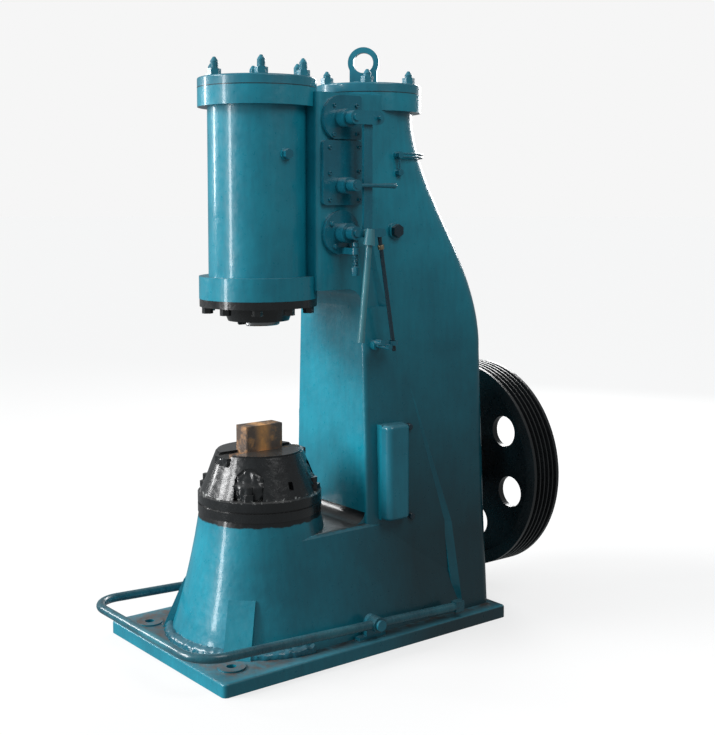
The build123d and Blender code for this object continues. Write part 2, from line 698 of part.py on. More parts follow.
def anvil_block():
    body = Pos(0, 0, ANVIL_RING_TOP_Z) * Cone(
        ANVIL_FOOT_R, ANVIL_TOP_R, ANVIL_HEIGHT, align=(Align.CENTER, Align.CENTER, Align.MIN)
    )
    body += rod(ANVIL_COLLAR_R, ANVIL_COLLAR_THICK, (0, 0, ANVIL_TOP_Z))
    arch = Pos(0, ANVIL_POCKET_HEIGHT / 2 - ANVIL_POCKET_WIDTH / 4) * Rectangle(
        ANVIL_POCKET_WIDTH, ANVIL_POCKET_HEIGHT - ANVIL_POCKET_WIDTH / 2
    )
    arch += Pos(0, ANVIL_POCKET_HEIGHT - ANVIL_POCKET_WIDTH / 2) * Circle(ANVIL_POCKET_WIDTH / 2)
    reach = ANVIL_FOOT_R - ANVIL_POCKET_R + 5
    for x, y, z in ring_of(4, ANVIL_POCKET_R, 45, (0, 0), ANVIL_RING_TOP_Z - 1):
        turn = math.degrees(math.atan2(y, x))
        pocket = Pos(x, y, z) * Rotation(0, 0, turn) * extrude(Plane.YZ * arch, reach)
        body -= pocket
    hole_z = ANVIL_RING_TOP_Z + ANVIL_KEY_HOLE_RISE
    cone_r = between(ANVIL_KEY_HOLE_RISE, 0, ANVIL_HEIGHT, ANVIL_FOOT_R, ANVIL_TOP_R)
    hole = Box(ANVIL_KEY_HOLE_DEPTH * 2, ANVIL_KEY_HOLE_WIDTH, ANVIL_KEY_HOLE_HEIGHT)
    for x in (-cone_r, cone_r):
        body -= Pos(x, 0, hole_z) * hole
    slot = extrude(dovetail_slot(), ANVIL_FOOT_R, both=True)
    return body - slot


def anvil_studs():
    nuts = []
    for x, y, z in ring_of(4, ANVIL_STUD_CIRCLE_R, 45, (0, 0), ANVIL_RING_TOP_Z):
        stud = rod(ANVIL_STUD_R, ANVIL_STUD_LENGTH, (x, y, z))
        nuts.append(stud + hexagon(ANVIL_NUT_ACROSS_FLATS, NUT_THICK, (x, y, z)))
    return Compound(children=nuts)


def lower_die():
    top = ANVIL_COLLAR_Z
    head = block(-DIE_WIDTH / 2, DIE_WIDTH / 2, -DIE_LENGTH / 2, DIE_LENGTH / 2, top + DIE_FIT,
                 top + DIE_RISE)
    head = chamfer(head.edges().filter_by(Axis.Z), DIE_CHAMFER)
    half_top = DOVETAIL_TOP_WIDTH / 2 - DIE_FIT
    half_foot = DOVETAIL_FOOT_WIDTH / 2 - DIE_FIT
    side = Polyline(
        (-half_top, top + 1),
        (half_top, top + 1),
        (half_top, top),
        (half_foot, top - DOVETAIL_DEPTH + DIE_FIT),
        (-half_foot, top - DOVETAIL_DEPTH + DIE_FIT),
        (-half_top, top),
        close=True,
    )
    tail = extrude(make_face(Plane.XZ * side), DIE_LENGTH / 2, both=True)
    return head + tail


def die_key():
    """The tapered steel key beside the die's dovetail."""
    top = ANVIL_COLLAR_Z
    near_top = DOVETAIL_TOP_WIDTH / 2 + DIE_FIT
    near_foot = DOVETAIL_FOOT_WIDTH / 2 + DIE_FIT
    side = Polyline(
        (near_top, top),
        (near_top + DIE_KEY_WIDTH - 2 * DIE_FIT, top),
        (near_foot + DIE_KEY_WIDTH - 2 * DIE_FIT, top - DOVETAIL_DEPTH + DIE_FIT),
        (near_foot, top - DOVETAIL_DEPTH + DIE_FIT),
        close=True,
    )
    return extrude(make_face(Plane.XZ * side), ANVIL_COLLAR_R - 6, both=True)


def valve_boss(radius, z):
    return rod(radius, VALVE_BOSS_RISE + 1, (BOSS_X - VALVE_BOSS_RISE - 1, VALVE_Y, z), "x")


def spindle_bore(z):
    return rod(SPINDLE_R + SPINDLE_FIT, BOSS_X - PAD_X + 2, (PAD_X - 1, VALVE_Y, z), "x")


def upper_valve_cover():
    """Round towards the die end, squared off towards the crank end and below."""
    body = rod(UPPER_COVER_R, VALVE_COVER_THICK, (PAD_X, VALVE_Y, UPPER_VALVE_Z), "x")
    body += block(
        PAD_X, PAD_X + VALVE_COVER_THICK, VALVE_Y, VALVE_Y + UPPER_COVER_REAR,
        UPPER_COVER_FOOT_Z, UPPER_VALVE_Z + UPPER_COVER_R
    )
    body -= block(
        PAD_X - 1, BOSS_X, VALVE_Y - UPPER_COVER_R, VALVE_Y + UPPER_COVER_REAR,
        UPPER_VALVE_Z - UPPER_COVER_R - 1, UPPER_COVER_FOOT_Z
    )
    body = fillet(body.edges().filter_by(Axis.X), UPPER_COVER_CORNER_R)
    body += valve_boss(UPPER_BOSS_R, UPPER_VALVE_Z)
    return body - spindle_bore(UPPER_VALVE_Z)


def middle_valve_cover():
    """A plate with round corners that reaches up to the upper cover."""
    front = VALVE_Y + MIDDLE_COVER_OFFSET - MIDDLE_COVER_WIDTH / 2
    body = block(
        PAD_X, PAD_X + VALVE_COVER_THICK, front, front + MIDDLE_COVER_WIDTH,
        MIDDLE_COVER_TOP_Z - MIDDLE_COVER_HEIGHT, MIDDLE_COVER_TOP_Z
    )
    body = fillet(body.edges().filter_by(Axis.X), MIDDLE_COVER_CORNER_R)
    body += valve_boss(MIDDLE_BOSS_R, MIDDLE_VALVE_Z)
    return body - spindle_bore(MIDDLE_VALVE_Z)


def detent_place():
    """The detent rod's axis, the underside of its lug and the top of the rod."""
    x = BOSS_X + DETENT_R + 3
    lug_z = LOWER_VALVE_Z - LOWER_COVER_R + DETENT_LUG_RISE
    return x, VALVE_Y + DETENT_SHIFT, lug_z, LOWER_VALVE_Z - ARM_HUB_R - DETENT_GAP


def lower_valve_cover():
    """A round cover with a lug that carries the detent."""
    body = rod(LOWER_COVER_R, VALVE_COVER_THICK, (PAD_X, VALVE_Y, LOWER_VALVE_Z), "x")
    body += valve_boss(LOWER_BOSS_R, LOWER_VALVE_Z)
    body -= spindle_bore(LOWER_VALVE_Z)
    x, y, lug_z, _ = detent_place()
    half = DETENT_R + 4
    lug = block(PAD_X + VALVE_COVER_THICK - 1, x, y - half, y + half, lug_z, lug_z + DETENT_LUG_THICK)
    lug += rod(half, DETENT_LUG_THICK, (x, y, lug_z))
    lug -= rod(DETENT_R / 2 + SPINDLE_FIT, DETENT_LUG_THICK + 2, (x, y, lug_z - 1))
    return body + lug


def detent():
    """A spring and nut on a rod through the lower cover's lug."""
    x, y, lug_z, top = detent_place()
    foot_z = lug_z - DETENT_SPRING_LENGTH
    body = rod(DETENT_R / 2, top - foot_z, (x, y, foot_z))
    head_z = lug_z + DETENT_LUG_THICK + 1
    body += rod(DETENT_R, top - head_z, (x, y, head_z))
    spring_z = foot_z + DETENT_NUT_LENGTH - 1
    body += rod(DETENT_R, lug_z - 1 - spring_z, (x, y, spring_z))
    return body + hexagon(2 * DETENT_R + 4, DETENT_NUT_LENGTH - 6, (x, y, foot_z))


def arm_hub(z):
    return rod(ARM_HUB_R, ARM_HUB_LENGTH, (HUB_X, VALVE_Y, z), "x")


def spindle(z):
    length = ARM_X - PAD_X + 4
    return rod(SPINDLE_R, length, (PAD_X + 2, VALVE_Y, z), "x")


def arm_plate(z, reach, width):
    half = width / 2
    body = block(ARM_X - ARM_THICK, ARM_X, VALVE_Y, VALVE_Y + reach, z - half, z + half)
    return body + rod(half, ARM_THICK, (ARM_X - ARM_THICK, VALVE_Y + reach, z), "x")


def link_pin(z):
    start = LINK_X - 2
    return rod(LINK_PIN_R, ARM_X - start, (start, PIN_Y, z), "x")


def upper_arm():
    z = UPPER_VALVE_Z
    body = spindle(z) + arm_hub(z) + arm_plate(z, UPPER_ARM_REACH, UPPER_ARM_WIDTH) + link_pin(z)
    return body + rod(ARM_KNOB_R, ARM_KNOB_LENGTH + 1, (ARM_X - 1, VALVE_Y + UPPER_ARM_REACH, z), "x")


def lower_arm():
    z = LOWER_VALVE_Z
    body = spindle(z) + arm_hub(z) + arm_plate(z, PULL_RADIUS, ARM_WIDTH) + link_pin(z)
    start = ARM_X - ARM_THICK - PULL_EYE_THICK - 4
    return body + rod(LINK_PIN_R, ARM_X - start, (start, PULL_Y, z), "x")


def link_bar():
    half = LINK_WIDTH / 2
    low, high = LOWER_VALVE_Z, UPPER_VALVE_Z
    body = block(LINK_X, LINK_X + LINK_THICK, PIN_Y - half, PIN_Y + half, low, high)
    for z in (low, high):
        body += rod(half, LINK_THICK, (LINK_X, PIN_Y, z), "x")
        bore = LINK_PIN_R + (SPINDLE_FIT if z == low else 3)
        body -= rod(bore, LINK_THICK + 2, (LINK_X - 1, PIN_Y, z), "x")
    return body


def hand_lever():
    """A tapered socket on the lower arm with a round handle hanging from it."""
    x = ARM_X + SOCKET_FOOT_R + 1
    y = VALVE_Y + HANDLE_RADIUS
    start = Align.CENTER, Align.CENTER, Align.MIN
    lever = Cone(SOCKET_TOP_R, SOCKET_FOOT_R, SOCKET_LENGTH, align=start)
    lever += Pos(0, 0, SOCKET_LENGTH - 4) * Cylinder(HANDLE_R, HANDLE_LENGTH - SOCKET_LENGTH, align=start)
    lever += Pos(0, 0, HANDLE_LENGTH - HANDLE_GRIP_LENGTH) * Cylinder(
        HANDLE_R + HANDLE_GRIP_STEP, HANDLE_GRIP_LENGTH, align=start
    )
    lean = math.degrees(math.atan2(HANDLE_LEAN, HANDLE_LENGTH))
    lever = Pos(x, y, LOWER_VALVE_Z + SOCKET_TOP_R) * Rotation(180 - lean, 0, 0) * lever
    return lever + rod(SOCKET_TOP_R, x - ARM_X, (ARM_X, y, LOWER_VALVE_Z), "x")


def pull_rod():
    x = ARM_X - ARM_THICK - PULL_EYE_THICK - 1
    eye = rod(PULL_EYE_R, PULL_EYE_THICK, (x, PULL_Y, LOWER_VALVE_Z), "x")
    shank = Cylinder(PULL_ROD_R, PULL_ROD_LENGTH, align=(Align.CENTER, Align.CENTER, Align.MIN))
    shank = chamfer(shank.edges().group_by(Axis.Z)[-1], PULL_ROD_R / 3)
    tail = Pos(PULL_X, PULL_Y, LOWER_VALVE_Z) * Rotation(180 + PULL_ROD_LEAN, 0, 0) * shank
    body = eye + tail
    return body - rod(LINK_PIN_R + SPINDLE_FIT, PULL_EYE_THICK + 2, (x - 1, PULL_Y, LOWER_VALVE_Z), "x")


def guide_place():
    """Where the pull rod passes its guide, set forward for the rod's swing."""
    lean = math.radians(PULL_ROD_LEAN)
    y = PULL_Y + GUIDE_DISTANCE * math.sin(lean) - GUIDE_OFFSET
    return PULL_X, y, LOWER_VALVE_Z - GUIDE_DISTANCE * math.cos(lean)


def rod_guide():
    """An eye round the pull rod on a small arm, held by a stud, with a clamping knob at its end."""
    x, y, z = guide_place()
    bore = PULL_ROD_R + GUIDE_BORE_GAP
    eye = rod(bore + GUIDE_EYE_WALL, GUIDE_EYE_THICK, (x, y, z - GUIDE_EYE_THICK / 2))
    half = GUIDE_EYE_THICK / 2
    arm = block(x - GUIDE_ARM_THICK / 2, x + GUIDE_ARM_THICK / 2, y - GUIDE_ARM_REACH, y,
                z - half, z + half)
    arm += rod(GUIDE_KNOB_R, GUIDE_KNOB_X - x + GUIDE_ARM_THICK / 2,
               (x - GUIDE_ARM_THICK / 2, y - GUIDE_ARM_REACH, z + GUIDE_ARM_RISE), "x")
    seat = COLUMN_TOP_HALF_WIDTH + GUIDE_BOSS_RISE
    stud_y, stud_z = y - GUIDE_STUD_REACH, z - GUIDE_STUD_DROP
    stud = rod(GUIDE_STUD_R, x - seat, (seat, stud_y, stud_z), "x")
    stud += rod(GUIDE_KNOB_R, GUIDE_KNOB_X - x + GUIDE_ARM_THICK / 2,
                (x - GUIDE_ARM_THICK / 2, stud_y, stud_z), "x")
    return eye + arm + stud - rod(bore, 4 * GUIDE_EYE_THICK, (x, y, z - 2 * GUIDE_EYE_THICK))


def mode_lever():
    body = spindle(MIDDLE_VALVE_Z) + rod(MODE_HUB_R, MODE_HUB_LENGTH, (HUB_X, VALVE_Y, MIDDLE_VALVE_Z), "x")
    rod_x = HUB_X + MODE_HUB_LENGTH - MODE_ROD_INSET
    body += rod(MODE_ROD_R, MODE_REACH, (rod_x, VALVE_Y, MIDDLE_VALVE_Z), "y")
    grip_y = VALVE_Y + MODE_REACH - MODE_GRIP_LENGTH
    body += Pos(rod_x, grip_y, MIDDLE_VALVE_Z) * Rotation(-90, 0, 0) * Cone(
        MODE_ROD_R, MODE_GRIP_R - 1, MODE_GRIP_LENGTH, align=(Align.CENTER, Align.CENTER, Align.MIN)
    )
    body += Pos(rod_x, VALVE_Y + MODE_REACH, MIDDLE_VALVE_Z) * Sphere(MODE_GRIP_R)
    return body


def cylinder_plug():
    return hexagon(PLUG_ACROSS_FLATS, PLUG_RISE, (WORK_BODY_R + PLUG_BOSS_RISE, 0, CYLINDER_PLUG_Z), "x")


def flank_plug():
    seat = COLUMN_TOP_HALF_WIDTH + FLANK_BOSS_RISE
    return hexagon(FLANK_PLUG_ACROSS_FLATS, PLUG_RISE, (seat, FLANK_PLUG_Y, FLANK_PLUG_Z), "x")


def bosses():
    """Round seats on the casting for the plugs, the rod guide and the oil unions."""
    _, guide_y, guide_z = guide_place()
    inside = COMPRESSOR_BODY_R - 20
    seats = rod(0.7 * PLUG_ACROSS_FLATS, PLUG_BOSS_RISE + 20, (WORK_BODY_R - 20, 0, CYLINDER_PLUG_Z), "x")
    seats += rod(0.7 * FLANK_PLUG_ACROSS_FLATS, COLUMN_TOP_HALF_WIDTH + FLANK_BOSS_RISE - inside,
                 (inside, FLANK_PLUG_Y, FLANK_PLUG_Z), "x")
    seats += rod(GUIDE_BOSS_R, COLUMN_TOP_HALF_WIDTH + GUIDE_BOSS_RISE - inside,
                 (inside, guide_y - GUIDE_STUD_REACH, guide_z - GUIDE_STUD_DROP), "x")
    union_seats = rod(OIL_SEAT_R, OIL_UNION_X - inside, (inside, OIL_UNION_Y, OIL_UNION_Z), "x")
    union_seats += rod(OIL_SEAT_R, OIL_UNION_X - inside,
                       (inside, OIL_UNION_Y, OIL_UNION_Z - OIL_FITTING_DROP), "x")
    return seats + mirrored(union_seats)


def oil_pipe():
    """Two thin pipes round the rear of the compressor, from unions on its right to its left."""
    pipe_x = OIL_UNION_X + OIL_UNION_LENGTH / 2
    low_z = OIL_UNION_Z - OIL_FITTING_DROP
    side = rod(OIL_PIPE_R, OIL_FITTING_DROP, (pipe_x, OIL_UNION_Y, low_z))
    for z in (OIL_UNION_Z, low_z):
        side += hexagon(OIL_UNION_ACROSS_FLATS, OIL_UNION_LENGTH, (OIL_UNION_X, OIL_UNION_Y, z), "x")
    body = mirrored(side)
    for z in (OIL_UNION_Z - OIL_PIPE_SPREAD, OIL_UNION_Z + OIL_PIPE_SPREAD):
        near = Line((pipe_x, OIL_UNION_Y, z), (pipe_x, OIL_ARC_Y, z))
        bend = ThreePointArc((pipe_x, OIL_ARC_Y, z), (0, OIL_ARC_Y + pipe_x, z), (-pipe_x, OIL_ARC_Y, z))
        far = Line((-pipe_x, OIL_ARC_Y, z), (-pipe_x, OIL_UNION_Y, z))
        route = Wire([near, bend, far])
        body += sweep(Plane(route @ 0, z_dir=route % 0) * Circle(OIL_PIPE_R), path=route)
    return body


def side_cover():
    """A deep box cover on the crank space, round on its outer edges."""
    body = block(
        SIDE_PAD_X, SIDE_COVER_X, SIDE_COVER_FRONT_Y, SIDE_COVER_FRONT_Y + SIDE_COVER_WIDTH,
        SIDE_COVER_FOOT_Z, SIDE_COVER_FOOT_Z + SIDE_COVER_HEIGHT
    )
    outer = body.edges().filter_by(Axis.Z).sort_by(Axis.X)[-2:]
    body = fillet(outer, SIDE_COVER_EDGE_R)
    rims = body.faces().filter_by(Axis.Z)
    rim_edges = [e for face in rims for e in face.edges() if e.center().X > SIDE_PAD_X + 1]
    return fillet(rim_edges, SIDE_COVER_RIM_R)


def bearing_housing():
    body = rod(HOUSING_FLANGE_R, HOUSING_FLANGE_THICK, (0, CASE_REAR_Y, CRANK_Z), "y")
    body += rod(HOUSING_R, HOUSING_LENGTH, (0, CASE_REAR_Y, CRANK_Z), "y")
    body = chamfer(body.edges().group_by(Axis.Y)[-1], HOUSING_EDGE)
    return body - rod(SHAFT_R + SHAFT_FIT, HOUSING_LENGTH + 2, (0, CASE_REAR_Y - 1, CRANK_Z), "y")


def housing_bolts():
    heads = []
    for i in range(HOUSING_BOLT_COUNT):
        a = math.radians(30 + 360 / HOUSING_BOLT_COUNT * i)
        x = HOUSING_BOLT_CIRCLE_R * math.cos(a)
        z = CRANK_Z + HOUSING_BOLT_CIRCLE_R * math.sin(a)
        heads.append(hexagon(2 * HOUSING_BOLT_R, HOUSING_BOLT_HEAD,
                             (x, CASE_REAR_Y + HOUSING_FLANGE_THICK, z), "y"))
    return Compound(children=heads)


def crankshaft():
    start = CASE_REAR_Y - SHAFT_INSET + SHAFT_END_GAP
    hub_end = PULLEY_MID_Y + PULLEY_HUB_LENGTH / 2
    body = rod(SHAFT_R, hub_end + SHAFT_END_STICKOUT - start, (0, start, CRANK_Z), "y")
    return chamfer(body.edges().group_by(Axis.Y)[-1], SHAFT_EDGE) - shaft_key(SHAFT_KEY_FIT)


def shaft_key(gap=0.0):
    """The key between shaft and pulley, or with a gap the room that it needs."""
    half = SHAFT_KEY_WIDTH / 2 + gap
    return block(
        -half, half, PULLEY_MID_Y - SHAFT_KEY_LENGTH / 2 - gap, PULLEY_MID_Y + SHAFT_KEY_LENGTH / 2 + gap,
        CRANK_Z + SHAFT_R - SHAFT_KEY_HEIGHT / 2 - gap, CRANK_Z + SHAFT_R + SHAFT_KEY_HEIGHT / 2 + gap
    )


def pulley_profile():
    """Half section of the pulley, radius along X and width along Y."""
    half = PULLEY_WIDTH / 2
    points = [(SHAFT_R + SHAFT_FIT, -PULLEY_HUB_LENGTH / 2), (PULLEY_HUB_R, -PULLEY_HUB_LENGTH / 2)]
    points += [(PULLEY_HUB_R, -WEB_THICK / 2), (PULLEY_R - RIM_THICK, -WEB_THICK / 2)]
    points += [(PULLEY_R - RIM_THICK, -half), (PULLEY_R, -half)]
    for i in range(GROOVE_COUNT):
        mid = GROOVE_PITCH * (i - (GROOVE_COUNT - 1) / 2)
        points += [
            (PULLEY_R, mid - GROOVE_MOUTH / 2),
            (PULLEY_R - GROOVE_DEPTH, mid - GROOVE_FLOOR / 2),
            (PULLEY_R - GROOVE_DEPTH, mid + GROOVE_FLOOR / 2),
            (PULLEY_R, mid + GROOVE_MOUTH / 2),
        ]
    points += [(PULLEY_R, half), (PULLEY_R - RIM_THICK, half)]
    points += [(PULLEY_R - RIM_THICK, WEB_THICK / 2), (PULLEY_HUB_R, WEB_THICK / 2)]
    points += [(PULLEY_HUB_R, PULLEY_HUB_LENGTH / 2), (SHAFT_R + SHAFT_FIT, PULLEY_HUB_LENGTH / 2)]
    return make_face(Polyline(*points, close=True))


def pulley():
    wheel = revolve(pulley_profile(), Axis.Y)
    for i in range(WEB_HOLE_COUNT):
        a = math.radians(WEB_HOLE_START + 360 / WEB_HOLE_COUNT * i)
        place = (WEB_HOLE_CIRCLE_R * math.cos(a), -WEB_THICK, WEB_HOLE_CIRCLE_R * math.sin(a))
        wheel -= rod(WEB_HOLE_R, 2 * WEB_THICK, place, "y")
    return Pos(0, PULLEY_MID_Y, CRANK_Z) * wheel - shaft_key(SHAFT_KEY_FIT)


def bar_line(y):
    """Height of the treadle's sides at a place along the machine."""
    return BAR_PIVOT_Z + math.tan(math.radians(BAR_SLOPE)) * (BAR_PIVOT_Y - y)


def treadle():
    corners = [
        (BAR_HALF_WIDTH, BAR_REAR_Y),
        (BAR_HALF_WIDTH, BAR_FRONT_Y),
        (-BAR_HALF_WIDTH, BAR_FRONT_Y),
        (-BAR_HALF_WIDTH, BAR_REAR_Y),
    ]
    path = FilletPolyline(*corners, radius=BAR_CORNER_R)
    bar = sweep(Plane(path @ 0, z_dir=path % 0) * Circle(BAR_R), path=path)
    tilt = Pos(0, BAR_PIVOT_Y, BAR_PIVOT_Z) * Rotation(-BAR_SLOPE, 0, 0) * Pos(0, -BAR_PIVOT_Y, 0)
    bar = tilt * bar
    inner = BAR_HALF_WIDTH - BAR_HUB_LENGTH / 2
    hub = rod(BAR_HUB_R, BAR_HUB_LENGTH, (inner, BAR_PIVOT_Y, BAR_PIVOT_Z), "x")
    end = Pos(BAR_HALF_WIDTH, BAR_REAR_Y, bar_line(BAR_REAR_Y)) * Box(BAR_END_WIDTH, BAR_END_LENGTH, BAR_END_HEIGHT)
    bore = rod(PIVOT_PIN_R + PIVOT_FIT, BAR_HUB_LENGTH + 2, (inner - 1, BAR_PIVOT_Y, BAR_PIVOT_Z), "x")
    return bar + mirrored(hub + end) - mirrored(bore)


def treadle_bracket():
    """Foot, lug and pivot pin on the right edge of the base plate."""
    outer = BAR_HALF_WIDTH - BAR_HUB_LENGTH / 2 - PIVOT_GAP
    inner = outer - BRACKET_THICK
    half = BRACKET_FOOT_LENGTH / 2
    foot = block(inner - BRACKET_FOOT_MARGIN, outer, BAR_PIVOT_Y - half, BAR_PIVOT_Y + half, PLATE_THICK,
                 PLATE_THICK + BRACKET_FOOT_THICK)
    lug = block(inner, outer, BAR_PIVOT_Y - BRACKET_LUG_R, BAR_PIVOT_Y + BRACKET_LUG_R, PLATE_THICK,
                BAR_PIVOT_Z)
    lug += rod(BRACKET_LUG_R, BRACKET_THICK, (inner, BAR_PIVOT_Y, BAR_PIVOT_Z), "x")
    return foot + lug


def pivot_pin():
    outer = BAR_HALF_WIDTH - BAR_HUB_LENGTH / 2 - PIVOT_GAP
    pin = rod(PIVOT_PIN_R, BAR_HUB_LENGTH + 2 * PIVOT_GAP + 0.1, (outer, BAR_PIVOT_Y, BAR_PIVOT_Z), "x")
    head_x = outer + BAR_HUB_LENGTH + 2 * PIVOT_GAP
    return pin + rod(PIVOT_HEAD_R, PIVOT_HEAD_THICK, (head_x, BAR_PIVOT_Y, BAR_PIVOT_Z), "x")


NODES = {
    "frame_casting": frame_casting,
    "working_cylinder_cover": lambda: cover(WORK_FLANGE_R, 0),
    "compressor_cylinder_cover": lambda: cover(COMPRESSOR_FLANGE_R, COMPRESSOR_Y),
    "working_cover_studs": lambda: studs(WORK_STUD_CIRCLE_R, WORK_STUD_START, 0, WORK_STUD_LENGTH),
    "compressor_cover_studs": lambda: studs(
        COMPRESSOR_STUD_CIRCLE_R, COMPRESSOR_STUD_START, COMPRESSOR_Y, COMPRESSOR_STUD_LENGTH
    ),
    "lifting_eye": lifting_eye,
    "gland": gland,
    "gland_bolts": gland_bolts,
    "ram": ram,
    "anvil_ring": anvil_ring,
    "anvil_block": anvil_block,
    "anvil_studs": anvil_studs,
    "lower_die": lower_die,
    "die_key": die_key,
    "upper_valve_cover": upper_valve_cover,
    "middle_valve_cover": middle_valve_cover,
    "lower_valve_cover": lower_valve_cover,
    "detent": detent,
    "upper_valve_arm": upper_arm,
    "lower_valve_arm": lower_arm,
    "link_bar": link_bar,
    "hand_lever": hand_lever,
    "pull_rod": pull_rod,
    "mode_lever": mode_lever,
    "rod_guide": rod_guide,
    "cylinder_plug": cylinder_plug,
    "flank_plug": flank_plug,
    "oil_pipe": oil_pipe,
    "side_cover_right": side_cover,
    "side_cover_left": lambda: mirror(side_cover(), Plane.YZ),
    "bearing_housing": bearing_housing,
    "bearing_housing_bolts": housing_bolts,
    "crankshaft": crankshaft,
    "shaft_key": shaft_key,
    "flywheel_pulley": pulley,
    "treadle_bar": treadle,
    "treadle_bracket_right": treadle_bracket,
    "treadle_bracket_left": lambda: mirror(treadle_bracket(), Plane.YZ),
    "treadle_pin_right": pivot_pin,
    "treadle_pin_left": lambda: mirror(pivot_pin(), Plane.YZ),
}

os.makedirs("parts", exist_ok=True)
for name, make in NODES.items():
    export_step(make(), f"parts/{name}.step")
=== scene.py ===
"""Dresses a one-piece air forging hammer: its enamels, its bare steel and its small fittings.

Lengths in the classes are in millimetres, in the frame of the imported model. +Z is up, the
working axis stands at x = y = 0, +Y is the crank and pulley end and +X the control side.
"""
import logging
import math
from dataclasses import dataclass, field
from enum import Enum
from typing import Callable, Dict, Optional, Sequence, Tuple, Union

import bpy
from mathutils import Euler, Matrix, Vector


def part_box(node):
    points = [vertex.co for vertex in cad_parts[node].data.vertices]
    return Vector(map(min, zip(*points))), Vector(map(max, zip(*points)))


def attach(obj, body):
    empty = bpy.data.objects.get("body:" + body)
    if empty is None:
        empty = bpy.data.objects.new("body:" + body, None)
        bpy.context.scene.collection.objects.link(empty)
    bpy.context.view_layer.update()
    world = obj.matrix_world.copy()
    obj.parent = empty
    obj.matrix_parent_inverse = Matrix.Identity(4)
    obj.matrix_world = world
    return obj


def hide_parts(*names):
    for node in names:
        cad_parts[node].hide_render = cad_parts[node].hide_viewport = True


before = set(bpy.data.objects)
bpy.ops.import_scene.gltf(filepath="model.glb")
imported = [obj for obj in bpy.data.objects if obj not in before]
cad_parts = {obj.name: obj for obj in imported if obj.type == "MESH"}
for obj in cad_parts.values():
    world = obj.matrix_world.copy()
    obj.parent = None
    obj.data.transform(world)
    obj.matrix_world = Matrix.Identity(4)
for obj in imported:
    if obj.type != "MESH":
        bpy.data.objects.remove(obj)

MM = 0.001
# The top of the base plate, on which the weld seams lie.
PLATE_TOP = 40.0
# How far a face's normal points up or down when the face is a level end.
LEVEL_END = 0.9
# Edges blunter than this many degrees look smooth on bevelled, wound and lumpy pieces.
SMOOTH_BEVELLED = 30
SMOOTH_WOUND = 50
SMOOTH_LUMPY = 60
# Points of a coil's turns that are closer than this, in metres, are one point.
SAME_POINT = 1e-6
Point = Tuple[float, float, float]
Span = Tuple[float, float]
Socket = bpy.types.NodeSocket
logging.basicConfig(level=logging.INFO, format="%(message)s")
log = logging.getLogger("hammer")


class Body(Enum):
    """The moving bodies that a fitting can ride on."""

    FRAME = "frame"
    PULL_ROD = "pull_rod"


class Slot(Enum):
    """The material slots that a fitting can take."""

    TEAL = "teal_enamel"
    BLACK = "black_enamel"
    BRIGHT = "bright_steel"


class Facing(Enum):
    """The way a fastener's head looks, as the turn that takes it there from +Z."""

    UP = (0.0, 0.0, 0.0)
    RIGHT = (0.0, math.pi / 2, 0.0)
    LEFT = (0.0, -math.pi / 2, 0.0)


class Coat(Enum):
    """The finishes of the machine."""

    FRAME = "one-piece casting"
    GEAR = "small valve castings"
    COVERS = "machined covers and brackets"
    LEVER = "hand lever"
    DARK = "oily rod and plug"
    # Near-black enamel on the pull rod, the flank plug and the side cover bolts.
    BLACK = "gland and pulley"
    ANVIL = "anvil and its ring"
    DIE = "lower die"
    BAR = "treadle bar"
    GROUND = "ram and shaft"
    PALE = "rod collar"


def linear(hex_colour: str) -> Tuple[float, float, float, float]:
    """Turns an sRGB hex value into the linear colour that a shader takes.

    Args:
        hex_colour: six hex digits, red first.

    Returns:
        The linear red, green and blue, with an alpha of one.
    """
    parts = [int(hex_colour[i:i + 2], 16) / 255 for i in (0, 2, 4)]
    made = [p / 12.92 if p <= 0.04045 else ((p + 0.055) / 1.055) ** 2.4 for p in parts]
    return (made[0], made[1], made[2], 1.0)


def clear_selection() -> None:
    """Leaves edit mode and deselects every object."""
    if bpy.context.object and bpy.context.object.mode != "OBJECT":
        bpy.ops.object.mode_set(mode="OBJECT")
    bpy.ops.object.select_all(action="DESELECT")


def hold(piece: bpy.types.Object) -> None:
    """Makes a piece the only selected object and the active one.

    Args:
        piece: the piece that the next operator works on.
    """
    clear_selection()
    bpy.context.view_layer.objects.active = piece
    piece.select_set(True)


def pick_faces(piece: bpy.types.Object,
               wanted: Callable[[bpy.types.MeshPolygon], bool]) -> None:
    """Selects some faces of a piece and leaves it in edit mode.

    Args:
        piece: the piece, which becomes the active object.
        wanted: tells whether a face is to be selected.
    """
    hold(piece)
    bpy.ops.object.mode_set(mode="EDIT")
    bpy.context.tool_settings.mesh_select_mode = (False, False, True)
    bpy.ops.mesh.select_all(action="DESELECT")
    bpy.ops.object.mode_set(mode="OBJECT")
    for face in piece.data.polygons:
        face.select = wanted(face)
    bpy.ops.object.mode_set(mode="EDIT")


def every_face(face: bpy.types.MeshPolygon) -> bool:
    """Wants each face, for an operator that works on the whole piece."""
    return True


def top_face(face: bpy.types.MeshPolygon) -> bool:
    """Wants the faces that look up."""
    return face.normal.z > LEVEL_END


def foot_face(face: bpy.types.MeshPolygon) -> bool:
    """Wants the faces that look down."""
    return face.normal.z < -LEVEL_END


def end_face(face: bpy.types.MeshPolygon) -> bool:
    """Wants the faces at both ends of an upright cylinder."""
    return abs(face.normal.z) > LEVEL_END


def close_ends() -> None:
    """Closes the open ends of a tube in edit mode and turns all its faces outwards."""
    bpy.context.tool_settings.mesh_select_mode = (True, False, False)
    bpy.ops.mesh.select_all(action="DESELECT")
    bpy.ops.mesh.select_non_manifold()
    bpy.ops.mesh.edge_face_add()
    bpy.ops.mesh.select_all(action="SELECT")
    bpy.ops.mesh.normals_make_consistent(inside=False)
    bpy.ops.object.mode_set(mode="OBJECT")


